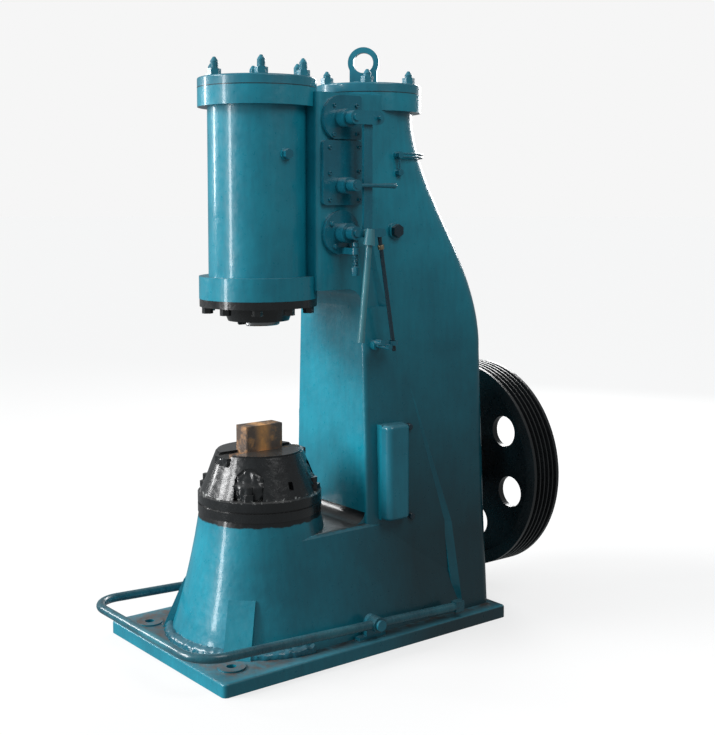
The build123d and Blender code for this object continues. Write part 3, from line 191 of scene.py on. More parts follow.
def finish_edges(piece: bpy.types.Object, width: float, segments: int = 2,
                 angle: float = 35) -> None:
    """Bevels a piece's edges and smooths its faces.

    Args:
        piece: the piece to finish.
        width: bevel width.
        segments: bevel segments.
        angle: edges sharper than this many degrees are bevelled.
    """
    hold(piece)
    bevel = piece.modifiers.new("edges", "BEVEL")
    bevel.width = width * MM
    bevel.segments = segments
    bevel.limit_method = "ANGLE"
    bevel.angle_limit = math.radians(angle)
    bpy.ops.object.modifier_apply(modifier=bevel.name)
    bpy.ops.object.shade_smooth_by_angle(angle=math.radians(SMOOTH_BEVELLED))


def roughen(piece: bpy.types.Object, size: float, depth: float) -> None:
    """Pushes a piece's surface in and out by cloudy lumps, and smooths it.

    Args:
        piece: the piece, with its place already in its mesh.
        size: size of one lump.
        depth: how far the surface moves from end to end.
    """
    hold(piece)
    clouds = bpy.data.textures.new(piece.name + "_lumps", "CLOUDS")
    clouds.noise_scale = size * MM
    push = piece.modifiers.new("lumps", "DISPLACE")
    push.texture = clouds
    push.texture_coords = "LOCAL"
    push.strength = depth * MM
    push.mid_level = 0.5
    bpy.ops.object.modifier_apply(modifier=push.name)
    bpy.ops.object.shade_smooth_by_angle(angle=math.radians(SMOOTH_LUMPY))


def place_copy(source: bpy.types.Object, name: str, where: Matrix) -> bpy.types.Object:
    """Copies a finished piece with its own mesh and sets it in place.

    Args:
        source: the piece that was modelled at the origin.
        name: the copy's name.
        where: the copy's place and turn, in metres.

    Returns:
        The copy, whose place is in its mesh.
    """
    copy = bpy.data.objects.new(name, source.data.copy())
    bpy.context.collection.objects.link(copy)
    copy.data.transform(where)
    copy.data.update()
    return copy


def discard(piece: bpy.types.Object) -> None:
    """Removes a pattern piece once its copies are made."""
    bpy.data.objects.remove(piece, do_unlink=True)


def settle(name: str) -> bpy.types.Object:
    """Names the new primitive and puts its place, turn and scale into its mesh.

    Args:
        name: the piece's name.

    Returns:
        The piece, whose object sits at the origin.
    """
    piece = bpy.context.object
    piece.name = name
    hold(piece)
    bpy.ops.object.transform_apply(location=True, rotation=True, scale=True)
    return piece


def join(pieces: Sequence[bpy.types.Object], name: str) -> bpy.types.Object:
    """Joins several meshes into one piece and names it.

    Args:
        pieces: the pieces, of which the first takes in the others.
        name: the name of the whole.

    Returns:
        The joined piece.
    """
    clear_selection()
    for piece in pieces:
        piece.select_set(True)
    bpy.context.view_layer.objects.active = pieces[0]
    bpy.ops.object.join()
    pieces[0].name = name
    pieces[0].data.name = name
    return pieces[0]


def at(x: float, y: float, z: float, facing: Facing = Facing.UP, spin: float = 0.0) -> Matrix:
    """Turns a place in millimetres into a matrix in metres that also faces a way.

    Args:
        x: place across the machine.
        y: place along the machine.
        z: height.
        facing: the way that the piece's own +Z looks.
        spin: turn about the piece's own axis, in degrees.

    Returns:
        The matrix for a copy or a mesh.
    """
    turn = Euler(facing.value).to_matrix().to_4x4()
    own = Matrix.Rotation(math.radians(spin), 4, "Z")
    return Matrix.Translation(Vector((x, y, z)) * MM) @ turn @ own


def on_piece(piece: bpy.types.Object, material: bpy.types.Material, body: Body) -> None:
    """Gives a piece its one material and its body, and reports it.

    Args:
        piece: the finished piece.
        material: what it wears.
        body: the body that carries it.
    """
    piece.data.materials.clear()
    piece.data.materials.append(material)
    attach(piece, body.value)
    log.info("piece %s on %s, %d faces", piece.name, body.value, len(piece.data.polygons))


@dataclass
class NodeBench:
    """The node tree of a material or of the world, with one way to add a node."""

    owner: Union[bpy.types.Material, bpy.types.World]
    tree: bpy.types.NodeTree = field(init=False)

    def __post_init__(self) -> None:
        """Empties the owner's node tree."""
        self.owner.use_nodes = True
        self.tree = self.owner.node_tree
        self.tree.nodes.clear()

    def add(self, kind: str, links: Optional[Dict[Union[str, int], Socket]] = None,
            values: Optional[Dict[Union[str, int], object]] = None,
            stops: Sequence[Span] = (), **settings: object) -> bpy.types.Node:
        """Adds a node with its settings, values and links.

        Args:
            kind: the node's type, without the words ShaderNode.
            links: input name or number to an output socket.
            values: input name or number to a constant.
            stops: place and grey value of the two ends of a colour ramp.
            **settings: the node's own properties.

        Returns:
            The new node.
        """
        node = self.tree.nodes.new("ShaderNode" + kind)
        for key, value in settings.items():
            setattr(node, key, value)
        for key, value in (values or {}).items():
            node.inputs[key].default_value = value
        for key, socket in (links or {}).items():
            self.tree.links.new(socket, node.inputs[key])
        for i, (place, grey) in enumerate(stops):
            node.color_ramp.elements[i].position = place
            node.color_ramp.elements[i].color = (grey, grey, grey, 1.0)
        return node


@dataclass(frozen=True)
class Band:
    """A stretch along one axis that a coat covers, with soft, ragged ends."""

    low: float
    high: float
    soft: float
    waver: float

    def mask(self, bench: NodeBench, along: Socket, ragged: Socket) -> Socket:
        """Adds the nodes that tell where the coat lies along the axis.

        Args:
            bench: the material's bench.
            along: the place along the axis, in metres.
            ragged: noise about zero that moves the ends.

        Returns:
            One inside the band and nought outside it.
        """
        moved = bench.add("Math", {0: ragged}, {1: self.waver * MM}, operation="MULTIPLY")
        place = bench.add("Math", {0: along, 1: moved.outputs[0]}, operation="ADD").outputs[0]
        rise = bench.add("MapRange", {"Value": place}, {
            "From Min": (self.low - self.soft) * MM, "From Max": (self.low + self.soft) * MM})
        fall = bench.add("MapRange", {"Value": place}, {
            "From Min": (self.high - self.soft) * MM, "From Max": (self.high + self.soft) * MM,
            "To Min": 1.0, "To Max": 0.0})
        return overlap(bench, rise.outputs[0], fall.outputs[0])


def overlap(bench: NodeBench, *masks: Socket) -> Socket:
    """Finds where several masks hold at once, as their product.

    Args:
        bench: the material's bench.
        *masks: sockets between nought and one.

    Returns:
        The product of the masks.
    """
    made = masks[0]
    for other in masks[1:]:
        made = bench.add("Math", {0: made, 1: other}, operation="MULTIPLY").outputs[0]
    return made


@dataclass(frozen=True)
class Paint:
    """Gloss enamel brushed over rough grey iron.

    The enamel gives a wet shine with runs and orange peel, the casting under it shows as soft
    lumps, and dust dulls what lies level.
    """

    name: str
    fresh: str
    deep: str
    dust: str = "8d8a86"
    gloss: float = 0.30
    gloss_spread: Span = (-0.06, 0.12)
    coat: float = 0.4
    coat_rough: float = 0.10
    lump_mm: float = 26.0
    lump_height_mm: float = 0.9
    # Real orange peel is 1 to 2 mm across, too fine for the picture, so it is drawn coarser.
    peel_mm: float = 4.5
    peel_height_mm: float = 0.12
    cloud_mm: float = 160.0
    cloud_ends: Span = (0.36, 0.64)
    brush_mm: float = 16.0
    brush_share: float = 0.3
    brush_drag: float = 0.18
    speck_mm: float = 22.0
    speck_ends: Span = (0.3, 0.7)
    dusty: float = 0.18
    dust_gain: float = 2.0
    dust_facing: Span = (0.35, 0.95)
    dust_dulls: float = 0.4

    def make(self) -> bpy.types.Material:
        """Builds the node material.

        Returns:
            The finished material.
        """
        bench = NodeBench(bpy.data.materials.new(self.name))
        surface = self.lay(bench, self.base(bench))
        bench.add("OutputMaterial", {"Surface": surface})
        return bench.owner

    def place(self, bench: NodeBench) -> Socket:
        """The piece's own coordinates, which are the machine's frame."""
        return bench.add("TexCoord").outputs["Object"]

    def base(self, bench: NodeBench) -> Socket:
        """Mixes the enamel's colour, clouded by thick and thin brushing.

        Args:
            bench: the material's bench.

        Returns:
            The colour before any dust.
        """
        where = self.place(bench)
        cloud = bench.add("TexNoise", {"Vector": where},
                          {"Scale": 1000 / self.cloud_mm, "Detail": 4.0, "Roughness": 0.5})
        drag = bench.add("Mapping", {"Vector": where}, {"Scale": (1.0, 1.0, self.brush_drag)})
        brush = bench.add("TexNoise", {"Vector": drag.outputs["Vector"]},
                          {"Scale": 1000 / self.brush_mm, "Detail": 3.0})
        part = bench.add("Math", {0: brush.outputs["Fac"]}, {1: self.brush_share},
                         operation="MULTIPLY")
        most = bench.add("Math", {0: cloud.outputs["Fac"]}, {1: 1.0 - self.brush_share},
                         operation="MULTIPLY")
        both = bench.add("Math", {0: most.outputs[0], 1: part.outputs[0]}, operation="ADD")
        amount = bench.add("ValToRGB", {"Fac": both.outputs[0]},
                           stops=[(self.cloud_ends[0], 0.0), (self.cloud_ends[1], 1.0)])
        mix = bench.add("Mix", {"Factor": amount.outputs["Color"]},
                        {"A": linear(self.deep), "B": linear(self.fresh)}, data_type="RGBA")
        return mix.outputs["Result"]

    def lay(self, bench: NodeBench, colour: Socket) -> Socket:
        """Lays the enamel: lumps of the casting, orange peel, and dust on level faces.

        Args:
            bench: the material's bench.
            colour: the enamel's colour.

        Returns:
            The finished surface.
        """
        where = self.place(bench)
        normal = bench.add("TexCoord").outputs["Normal"]
        up = bench.add("SeparateXYZ", {"Vector": normal}).outputs["Z"]
        speck = bench.add("TexNoise", {"Vector": where},
                          {"Scale": 1000 / self.speck_mm, "Detail": 6.0, "Roughness": 0.7})
        level = bench.add("ValToRGB", {"Fac": up},
                          stops=[(self.dust_facing[0], 0.0), (self.dust_facing[1], 1.0)])
        lain = overlap(bench, level.outputs["Color"], speck.outputs["Fac"])
        dusted = bench.add("Math", {0: lain}, {1: self.dust_gain * self.dusty},
                           operation="MULTIPLY", use_clamp=True)
        tint = bench.add("Mix", {"Factor": dusted.outputs[0], "A": colour},
                         {"B": linear(self.dust)}, data_type="RGBA")
        lumps = bench.add("TexNoise", {"Vector": where},
                          {"Scale": 1000 / self.lump_mm, "Detail": 2.0, "Roughness": 0.45})
        peel = bench.add("TexNoise", {"Vector": where},
                         {"Scale": 1000 / self.peel_mm, "Detail": 2.0})
        rough = bench.add("MapRange", {"Value": speck.outputs["Fac"]},
                          {"From Min": self.speck_ends[0], "From Max": self.speck_ends[1],
                           "To Min": self.gloss + self.gloss_spread[0],
                           "To Max": self.gloss + self.gloss_spread[1]})
        duller = bench.add("Math", {0: dusted.outputs[0]}, {1: self.dust_dulls},
                           operation="MULTIPLY")
        rough_all = bench.add("Math", {0: rough.outputs[0], 1: duller.outputs[0]},
                              operation="ADD", use_clamp=True)
        first = bench.add("Bump", {"Height": lumps.outputs["Fac"]},
                          {"Strength": 1.0, "Distance": self.lump_height_mm * MM})
        second = bench.add("Bump", {"Height": peel.outputs["Fac"],
                                    "Normal": first.outputs["Normal"]},
                           {"Strength": 1.0, "Distance": self.peel_height_mm * MM})
        shader = bench.add("BsdfPrincipled", {
            "Base Color": tint.outputs["Result"],
            "Roughness": rough_all.outputs[0],
            "Normal": second.outputs["Normal"],
        }, {"IOR": 1.5, "Coat Weight": self.coat, "Coat Roughness": self.coat_rough})
        return shader.outputs["BSDF"]


@dataclass(frozen=True)
class FramePaint(Paint):
    """The frame's enamel, with black paint over the bridge and dirt on the base plate.

    Black paint that was brushed round the anvil spreads over the bridge, and swarf, rust dust
    and oil lie on the plate, so that only its edges and corners keep their teal. Painted shade
    darkens the faces that look to the control side, most at their foot and towards the rear.
    """

    black: str = "101214"
    grime: str = "6a5b57"
    dark_grime: str = "2a1d1b"
    # Near-black teal painted as shade on the faces that look to the control side.
    painted_shade: str = "10191c"
    ragged_mm: float = 30.0
    bridge_across: Band = Band(-196, 196, 5, 26)
    bridge_along: Band = Band(60, 292, 6, 30)
    bridge_height: Band = Band(345, 425, 3, 30)
    bridge_facing: Span = (0.1, 0.3)
    rim_height: Band = Band(409, 470, 2, 16)
    rim_reach: Band = Band(-50, 238, 2, 8)
    plate_across: Band = Band(-322, 322, 14, 60)
    plate_along: Band = Band(-325, 900, 18, 90)
    plate_height: Band = Band(30, 52, 1, 4)
    plate_facing: Span = (0.55, 0.8)
    grime_darkens: Span = (-220, 0)
    blotch: Tuple[Span, Span] = ((0.36, 0.25), (0.6, 1.0))
    # Where the painted shade lies: faces looking to the control side, low down and towards the
    # rear.
    shade_facing: Span = (0.45, 0.85)
    shade_height: Span = (300, 1350)
    shade_at_foot: float = 0.85
    shade_along: Span = (100, 450)
    shade_at_front: float = 0.35

    def base(self, bench: NodeBench) -> Socket:
        """Mixes the enamel, the black paint, the plate's dirt and the painted shade on the control
        side.

        Args:
            bench: the material's bench.

        Returns:
            The colour before any dust.
        """
        teal = super().base(bench)
        where = self.place(bench)
        axes = bench.add("SeparateXYZ", {"Vector": where}).outputs
        normal = bench.add("TexCoord").outputs["Normal"]
        facing = bench.add("SeparateXYZ", {"Vector": normal}).outputs
        noise = bench.add("TexNoise", {"Vector": where},
                          {"Scale": 1000 / self.ragged_mm, "Detail": 6.0, "Roughness": 0.65})
        ragged = bench.add("Math", {0: noise.outputs["Fac"]}, {1: 0.5},
                           operation="SUBTRACT").outputs[0]
        black = self.black_paint(bench, axes, where, facing["Z"], ragged)
        painted = bench.add("Mix", {"Factor": black, "A": teal}, {"B": linear(self.black)},
                            data_type="RGBA").outputs["Result"]
        flat = bench.add("MapRange", {"Value": facing["Z"]}, {
            "From Min": self.plate_facing[0], "From Max": self.plate_facing[1]}).outputs[0]
        plate = overlap(bench, self.plate_height.mask(bench, axes["Z"], ragged), flat,
                        self.plate_across.mask(bench, axes["X"], ragged),
                        self.plate_along.mask(bench, axes["Y"], ragged))
        away = bench.add("MapRange", {"Value": axes["Y"]}, {
            "From Min": self.grime_darkens[0] * MM,
            "From Max": self.grime_darkens[1] * MM}).outputs[0]
        dirt = bench.add("Mix", {"Factor": away},
                         {"A": linear(self.grime), "B": linear(self.dark_grime)},
                         data_type="RGBA").outputs["Result"]
        blotch = bench.add("ValToRGB", {"Fac": noise.outputs["Fac"]}, stops=self.blotch)
        dirty = bench.add("Mix", {"Factor": overlap(bench, plate, blotch.outputs["Color"]),
                                  "A": painted, "B": dirt}, data_type="RGBA").outputs["Result"]
        # Mixes in the painted shade on the faces that look to the control side.
        return bench.add("Mix", {"Factor": self.painted_shade_mask(bench, axes, facing["X"]), "A": dirty},
                         {"B": linear(self.painted_shade)}, data_type="RGBA").outputs["Result"]

    def black_paint(self, bench: NodeBench, axes: bpy.types.NodeOutputs, where: Socket,
                    up: Socket, ragged: Socket) -> Socket:
        """Finds where black paint lies: on the bridge's top and on the rim under the ring.

        Args:
            bench: the material's bench.
            axes: the place along each axis.
            where: the place as a vector.
            up: how far a face looks up.
            ragged: noise about zero for the paint's edge.

        Returns:
            The mask of the black paint.
        """
        lying = bench.add("MapRange", {"Value": up}, {
            "From Min": self.bridge_facing[0], "From Max": self.bridge_facing[1]}).outputs[0]
        level = bench.add("Mapping", {"Vector": where}, {"Scale": (1.0, 1.0, 0.0)})
        reach = bench.add("VectorMath", {0: level.outputs["Vector"]}, operation="LENGTH")
        bridge = overlap(bench, self.bridge_height.mask(bench, axes["Z"], ragged),
                         self.bridge_along.mask(bench, axes["Y"], ragged),
                         self.bridge_across.mask(bench, axes["X"], ragged), lying)
        rim = overlap(bench, self.rim_height.mask(bench, axes["Z"], ragged),
                      self.rim_reach.mask(bench, reach.outputs["Value"], ragged))
        return bench.add("Math", {0: bridge, 1: rim}, operation="MAXIMUM").outputs[0]

    def painted_shade_mask(self, bench: NodeBench, axes: bpy.types.NodeOutputs,
                  outward: Socket) -> Socket:
        """Finds the painted shade on faces that look to the control side, most low and to the
        rear.

        Args:
            bench: the material's bench.
            axes: the place along each axis.
            outward: how far a face looks to the control side.

        Returns:
            The mask of the painted shade.
        """
        side = bench.add("MapRange", {"Value": outward}, {
            "From Min": self.shade_facing[0], "From Max": self.shade_facing[1]})
        low = bench.add("MapRange", {"Value": axes["Z"]}, {
            "From Min": self.shade_height[0] * MM, "From Max": self.shade_height[1] * MM,
            "To Min": self.shade_at_foot, "To Max": 0.0})
        rear = bench.add("MapRange", {"Value": axes["Y"]}, {
            "From Min": self.shade_along[0] * MM, "From Max": self.shade_along[1] * MM,
            "To Min": self.shade_at_front, "To Max": 1.0})
        return overlap(bench, side.outputs[0], low.outputs[0], rear.outputs[0])


@dataclass(frozen=True)
class ChippedPaint(Paint):
    """Black gloss paint on the anvil, with pale chips along the ring's upper edge."""

    chip: str = "c9ccca"
    edge_height: float = 489.0
    edge_reach: float = 7.0
    chip_mm: float = 13.0
    chip_ends: Span = (0.56, 0.62)

    def base(self, bench: NodeBench) -> Socket:
        """Mixes the black paint, with chips where sparse noise meets the edge's height.

        Args:
            bench: the material's bench.

        Returns:
            The colour before any dust.
        """
        paint = super().base(bench)
        where = self.place(bench)
        height = bench.add("SeparateXYZ", {"Vector": where}).outputs["Z"]
        off = bench.add("Math", {0: height}, {1: self.edge_height * MM}, operation="SUBTRACT")
        gap = bench.add("Math", {0: off.outputs[0]}, operation="ABSOLUTE")
        near = bench.add("MapRange", {"Value": gap.outputs[0]},
                         {"From Max": self.edge_reach * MM, "To Min": 1.0, "To Max": 0.0})
        fleck = bench.add("TexNoise", {"Vector": where},
                          {"Scale": 1000 / self.chip_mm, "Detail": 5.0, "Roughness": 0.7})
        sparse = bench.add("ValToRGB", {"Fac": fleck.outputs["Fac"]},
                           stops=[(self.chip_ends[0], 0.0), (self.chip_ends[1], 1.0)])
        chips = overlap(bench, sparse.outputs["Color"], near.outputs[0])
        return bench.add("Mix", {"Factor": chips, "A": paint}, {"B": linear(self.chip)},
                         data_type="RGBA").outputs["Result"]


@dataclass(frozen=True)
class BareSteel:
    """Bare forged or ground steel, with a film of rust where it is left in the open.

    The metal gives a grey, streaked gleam, and the rust a dull orange-brown bloom.
    """

    name: str
    bright: str
    dark: str
    rust: str = "8a4f22"
    rusted: float = 0.45
    rust_from: float = 0.62
    rust_widens: float = 0.3
    rust_full: float = 0.72
    rust_cover: float = 0.4
    rough: float = 0.42
    rust_rough: float = 0.85
    metal_most: float = 0.95
    metal_least: float = 0.1
    # Real grinding lines are a tenth of this, too fine for the picture, so they are coarser.
    grain_mm: float = 1.2
    grain_drag: float = 0.12
    scratch_mm: float = 0.08
    scratch_strength: float = 0.5
    pit_mm: float = 0.6
    pit_strength: float = 0.7
    cloud_mm: float = 34.0
    band: bool = False
    band_front: Span = (-40, -12)
    band_rear: Span = (2, 28)
    band_patches: Tuple[Span, Span] = ((0.3, 0.35), (0.55, 1.0))

    def make(self) -> bpy.types.Material:
        """Builds the node material.

        Returns:
            The finished material.
        """
        bench = NodeBench(bpy.data.materials.new(self.name))
        where = bench.add("TexCoord").outputs["Object"]
        drag = bench.add("Mapping", {"Vector": where}, {"Scale": (1.0, self.grain_drag, 1.0)})
        grain = bench.add("TexNoise", {"Vector": drag.outputs["Vector"]},
                          {"Scale": 1000 / self.grain_mm, "Detail": 3.0})
        cloud = bench.add("TexNoise", {"Vector": where},
                          {"Scale": 1000 / self.cloud_mm, "Detail": 6.0, "Roughness": 0.68})
        metal = bench.add("Mix", {"Factor": grain.outputs["Fac"]},
                          {"A": linear(self.dark), "B": linear(self.bright)}, data_type="RGBA")
        spread = bench.add("ValToRGB", {"Fac": cloud.outputs["Fac"]},
                           stops=[(self.rust_from - self.rust_widens * self.rusted, 0.0),
                                  (self.rust_full, 1.0)]).outputs["Color"]
        if self.band:
            spread = bench.add("Math", {0: spread, 1: self.bloom(bench, where, cloud)},
                               operation="MAXIMUM").outputs[0]
        amount = bench.add("Math", {0: spread}, {1: min(1.0, self.rust_cover + self.rusted)},
                           operation="MULTIPLY")
        colour = bench.add("Mix", {"Factor": amount.outputs[0], "A": metal.outputs["Result"]},
                           {"B": linear(self.rust)}, data_type="RGBA")
        rough = bench.add("MapRange", {"Value": amount.outputs[0]},
                          {"To Min": self.rough, "To Max": self.rust_rough})
        metallic = bench.add("MapRange", {"Value": amount.outputs[0]},
                             {"To Min": self.metal_most, "To Max": self.metal_least})
        pits = bench.add("Bump", {"Height": cloud.outputs["Fac"]},
                         {"Strength": self.pit_strength, "Distance": self.pit_mm * MM})
        scratch = bench.add("Bump", {"Height": grain.outputs["Fac"],
                                     "Normal": pits.outputs["Normal"]},
                            {"Strength": self.scratch_strength,
                             "Distance": self.scratch_mm * MM})
        shader = bench.add("BsdfPrincipled", {
            "Base Color": colour.outputs["Result"], "Roughness": rough.outputs[0],
            "Metallic": metallic.outputs[0], "Normal": scratch.outputs["Normal"]})
        bench.add("OutputMaterial", {"Surface": shader.outputs["BSDF"]})
        return bench.owner

    def bloom(self, bench: NodeBench, where: Socket, cloud: bpy.types.Node) -> Socket:
        """Finds the patchy rust across the middle of the die's side.

        Args:
            bench: the material's bench.
            where: the place as a vector.
            cloud: the noise that makes the patches.

        Returns:
            The mask of the rust.
        """
        along = bench.add("SeparateXYZ", {"Vector": where}).outputs["Y"]
        near = bench.add("MapRange", {"Value": along}, {
            "From Min": self.band_front[0] * MM, "From Max": self.band_front[1] * MM})
        far = bench.add("MapRange", {"Value": along}, {
            "From Min": self.band_rear[0] * MM, "From Max": self.band_rear[1] * MM,
            "To Min": 1.0, "To Max": 0.0})
        patchy = bench.add("ValToRGB", {"Fac": cloud.outputs["Fac"]}, stops=self.band_patches)
        return overlap(bench, near.outputs[0], far.outputs[0], patchy.outputs["Color"])


@dataclass(frozen=True)
class Fastener:
    """A cap screw or hexagon head, modelled once at the origin and copied."""

    across: float
    height: float
    sides: int
    socket: float = 0.0
    washer: float = 0.0
    washer_thick: float = 1.5
    rim_share: float = 0.16
    socket_share: float = 0.10
    crown_share: float = 0.10
    bevel_share: float = 0.035

    def build(self, name: str) -> bpy.types.Object:
        """Models the head with its socket or crown and its washer.

        Args:
            name: the pattern's name.

        Returns:
            The pattern, standing on the level plane.
        """
        clear_selection()
        radius = self.across / 2 * (1 / math.cos(math.pi / self.sides) if self.sides == 6 else 1)
        bpy.ops.mesh.primitive_cylinder_add(vertices=self.sides, radius=radius * MM,
                                            depth=self.height * MM,
                                            location=(0, 0, self.height / 2 * MM))
        head = settle(name)
        pick_faces(head, top_face)
        bpy.ops.mesh.inset(thickness=self.rim_share * self.across * MM)
        if self.socket:
            bpy.ops.mesh.inset(thickness=self.socket_share * self.across * MM)
            bpy.ops.mesh.extrude_region_move(
                TRANSFORM_OT_translate={"value": (0, 0, -self.socket * MM)})
        else:
            bpy.ops.transform.translate(value=(0, 0, self.crown_share * self.height * MM))
        clear_selection()
        if self.washer:
            pick_faces(head, foot_face)
            bpy.ops.mesh.extrude_region_move(TRANSFORM_OT_translate={"value": (0, 0, 0)})
            scale = self.washer / self.across
            bpy.ops.transform.resize(value=(scale, scale, 1))
            bpy.ops.mesh.extrude_region_move(
                TRANSFORM_OT_translate={"value": (0, 0, -self.washer_thick * MM)})
            clear_selection()
            head.data.transform(at(0, 0, self.washer_thick))
        finish_edges(head, self.bevel_share * self.across)
        return head


@dataclass(frozen=True)
class Helix:
    """A wire or thread wound round an axis, from a small ring that is screwed upwards."""

    radius: float
    wire: float
    pitch: float
    length: float
    corners: int = 8
    steps: int = 20

    def build(self, name: str) -> bpy.types.Object:
        """Winds the coil from the level plane upwards.

        Args:
            name: the piece's name.

        Returns:
            The coil, round the origin's axis.
        """
        clear_selection()
        bpy.ops.mesh.primitive_circle_add(vertices=self.corners, radius=self.wire * MM,
                                          fill_type="NOTHING",
                                          location=(self.radius * MM, 0, self.wire * MM),
                                          rotation=(math.pi / 2, 0, 0))
        ring = settle(name)
        screw = ring.modifiers.new("wind", "SCREW")
        screw.axis = "Z"
        screw.angle = math.tau
        screw.screw_offset = self.pitch * MM
        screw.iterations = max(1, round((self.length - 2 * self.wire) / self.pitch))
        screw.steps = screw.render_steps = self.steps
        screw.use_normal_calculate = True
        bpy.ops.object.modifier_apply(modifier=screw.name)
        bpy.ops.object.mode_set(mode="EDIT")
        bpy.context.tool_settings.mesh_select_mode = (True, False, False)
        bpy.ops.mesh.select_all(action="SELECT")
        bpy.ops.mesh.remove_doubles(threshold=SAME_POINT)
        close_ends()
        bpy.ops.object.shade_smooth_by_angle(angle=math.radians(SMOOTH_WOUND))
        return ring


@dataclass(frozen=True)
class StudCircle:
    """The six studs of one cylinder cover: where they stand and how long they are."""

    name: str
    centre_y: float
    radius: float
    start: float
    length: float
    flange_r: float


@dataclass
class CoverStuds:
    """The threads on the studs of both cylinder covers, and the joints' dark seams."""

    circles: Tuple[StudCircle, ...] = (StudCircle("working", 0, 156, -29, 44, 185),
                                       StudCircle("compressor", 441, 153, 20, 30, 174))
    count: int = 6
    joint_z: float = 1746
    cover_thick: float = 30
    nut_thick: float = 20
    stud_r: float = 12
    tip_room: float = 1
    thread_sink: float = 0.3
    thread_wire: float = 1.1
    thread_pitch: float = 2.6
    thread_gap: float = 0.6
    thread_corners: int = 4
    thread_steps: int = 16
    seam_proud: float = 0.4
    seam_thick: float = 2.4
    seam_width: float = 4
    seam_sides: int = 96
    seam_bevel: float = 0.3
    seam_bevel_angle: float = 60

    def build(self, steel: bpy.types.Material, seal: bpy.types.Material) -> None:
        """Models the threads and the seams.

        Args:
            steel: the finish of the studs.
            seal: the finish of the seams.
        """
        top = self.joint_z + self.cover_thick + self.nut_thick + self.thread_gap
        for circle in self.circles:
            room = circle.length - self.nut_thick - self.tip_room
            winding = Helix(self.stud_r - self.thread_sink, self.thread_wire, self.thread_pitch,
                            room, self.thread_corners, self.thread_steps)
            thread = winding.build(f"{circle.name}_thread")
            for i in range(self.count):
                a = math.radians(circle.start + 360 / self.count * i)
                where = at(circle.radius * math.cos(a),
                           circle.centre_y + circle.radius * math.sin(a), top)
                copy = place_copy(thread, f"{circle.name}_stud_thread_{i + 1}", where)
                on_piece(copy, steel, Body.FRAME)
            discard(thread)
        for circle in self.circles:
            self.seam(circle, seal)

    def seam(self, circle: StudCircle, seal: bpy.types.Material) -> None:
        """Models the thin gasket that shows between a flange and its cover.

        Args:
            circle: the cover's studs and flange.
            seal: the finish of the seam.
        """
        clear_selection()
        bpy.ops.mesh.primitive_cylinder_add(
            vertices=self.seam_sides, radius=(circle.flange_r + self.seam_proud) * MM,
            depth=self.seam_thick * MM, location=(0, circle.centre_y * MM, self.joint_z * MM))
        ring = settle(f"{circle.name}_cover_seam")
        pick_faces(ring, end_face)
        bpy.ops.mesh.inset(thickness=self.seam_width * MM)
        bpy.ops.mesh.delete(type="FACE")
        clear_selection()
        finish_edges(ring, self.seam_bevel, segments=1, angle=self.seam_bevel_angle)
        on_piece(ring, seal, Body.FRAME)


@dataclass
class ValveCovers:
    """Screws of the valve chest's plates and bolts of its round lower cover."""

    sunk_face_x: float = 185.8
    screw: Fastener = Fastener(12, 6, 24, socket=3)
    # Place along the machine and height of each cap screw.
    screws_at: Tuple[Span, ...] = (
        (160, 1692), (246, 1693), (157, 1603), (249, 1606), (142, 1563), (142, 1484),
        (256, 1567), (256, 1492), (142, 1403), (256, 1403))
    bolt: Fastener = Fastener(13, 7, 6, washer=18)
    bolt_circle_y: float = 190
    bolt_circle_z: float = 1300
    bolt_circle_r: float = 50
    bolt_angles: Tuple[float, ...] = (-56, 35, 145, -125)
    bolt_spin: float = 15

    def build(self, enamel: bpy.types.Material) -> None:
        """Models one screw and one bolt and copies them to their places.

        Args:
            enamel: the paint on them.
        """
        screw = self.screw.build("cover_screw")
        for i, (y, z) in enumerate(self.screws_at):
            copy = place_copy(screw, f"valve_cover_screw_{i + 1}",
                              at(self.sunk_face_x, y, z, Facing.RIGHT))
            on_piece(copy, enamel, Body.FRAME)
        discard(screw)
        bolt = self.bolt.build("round_cover_bolt")
        for i, angle in enumerate(self.bolt_angles):
            a = math.radians(angle)
            where = at(self.sunk_face_x, self.bolt_circle_y + self.bolt_circle_r * math.cos(a),
                       self.bolt_circle_z + self.bolt_circle_r * math.sin(a), Facing.RIGHT,
                       self.bolt_spin)
            copy = place_copy(bolt, f"round_cover_bolt_{i + 1}", where)
            on_piece(copy, enamel, Body.FRAME)
        discard(bolt)


@dataclass
class Detent:
    """The detent by the hand lever: a rod with a coil spring, a hexagon nut and a cap."""

    x: float = 238.5
    y: float = 200
    lug_z: float = 1235
    lug_top_z: float = 1256
    foot_z: float = 1169
    top_z: float = 1273
    rod_r: float = 4.6
    rod_sides: int = 24
    rod_rim: float = 1.2
    rod_bevel: float = 0.6
    coil: Helix = Helix(8.0, 1.5, 5.2, 37)
    coil_below_lug: float = 38
    nut: Fastener = Fastener(23, 26, 6)
    cap: Fastener = Fastener(19, 14, 24)

    def build(self, enamel: bpy.types.Material) -> None:
        """Models the detent in place of the plain sleeve.

        Args:
            enamel: the paint on it.
        """
        clear_selection()
        bpy.ops.mesh.primitive_cylinder_add(
            vertices=self.rod_sides, radius=self.rod_r * MM, depth=(self.top_z - self.foot_z) * MM,
            location=(0, 0, (self.top_z + self.foot_z) / 2 * MM))
        core = settle("detent_core")
        pick_faces(core, end_face)
        bpy.ops.mesh.inset(thickness=self.rod_rim * MM)
        clear_selection()
        finish_edges(core, self.rod_bevel)
        coil = self.coil.build("detent_coil")
        coil.data.transform(at(0, 0, self.lug_z - self.coil_below_lug))
        nut = self.nut.build("detent_nut")
        nut.data.transform(at(0, 0, self.foot_z))
        cap = self.cap.build("detent_cap")
        cap.data.transform(at(0, 0, self.lug_top_z))
        whole = join([core, coil, nut, cap], "detent_spring_rod")
        whole.data.transform(at(self.x, self.y, 0))
        on_piece(whole, enamel, Body.FRAME)
        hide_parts("detent")


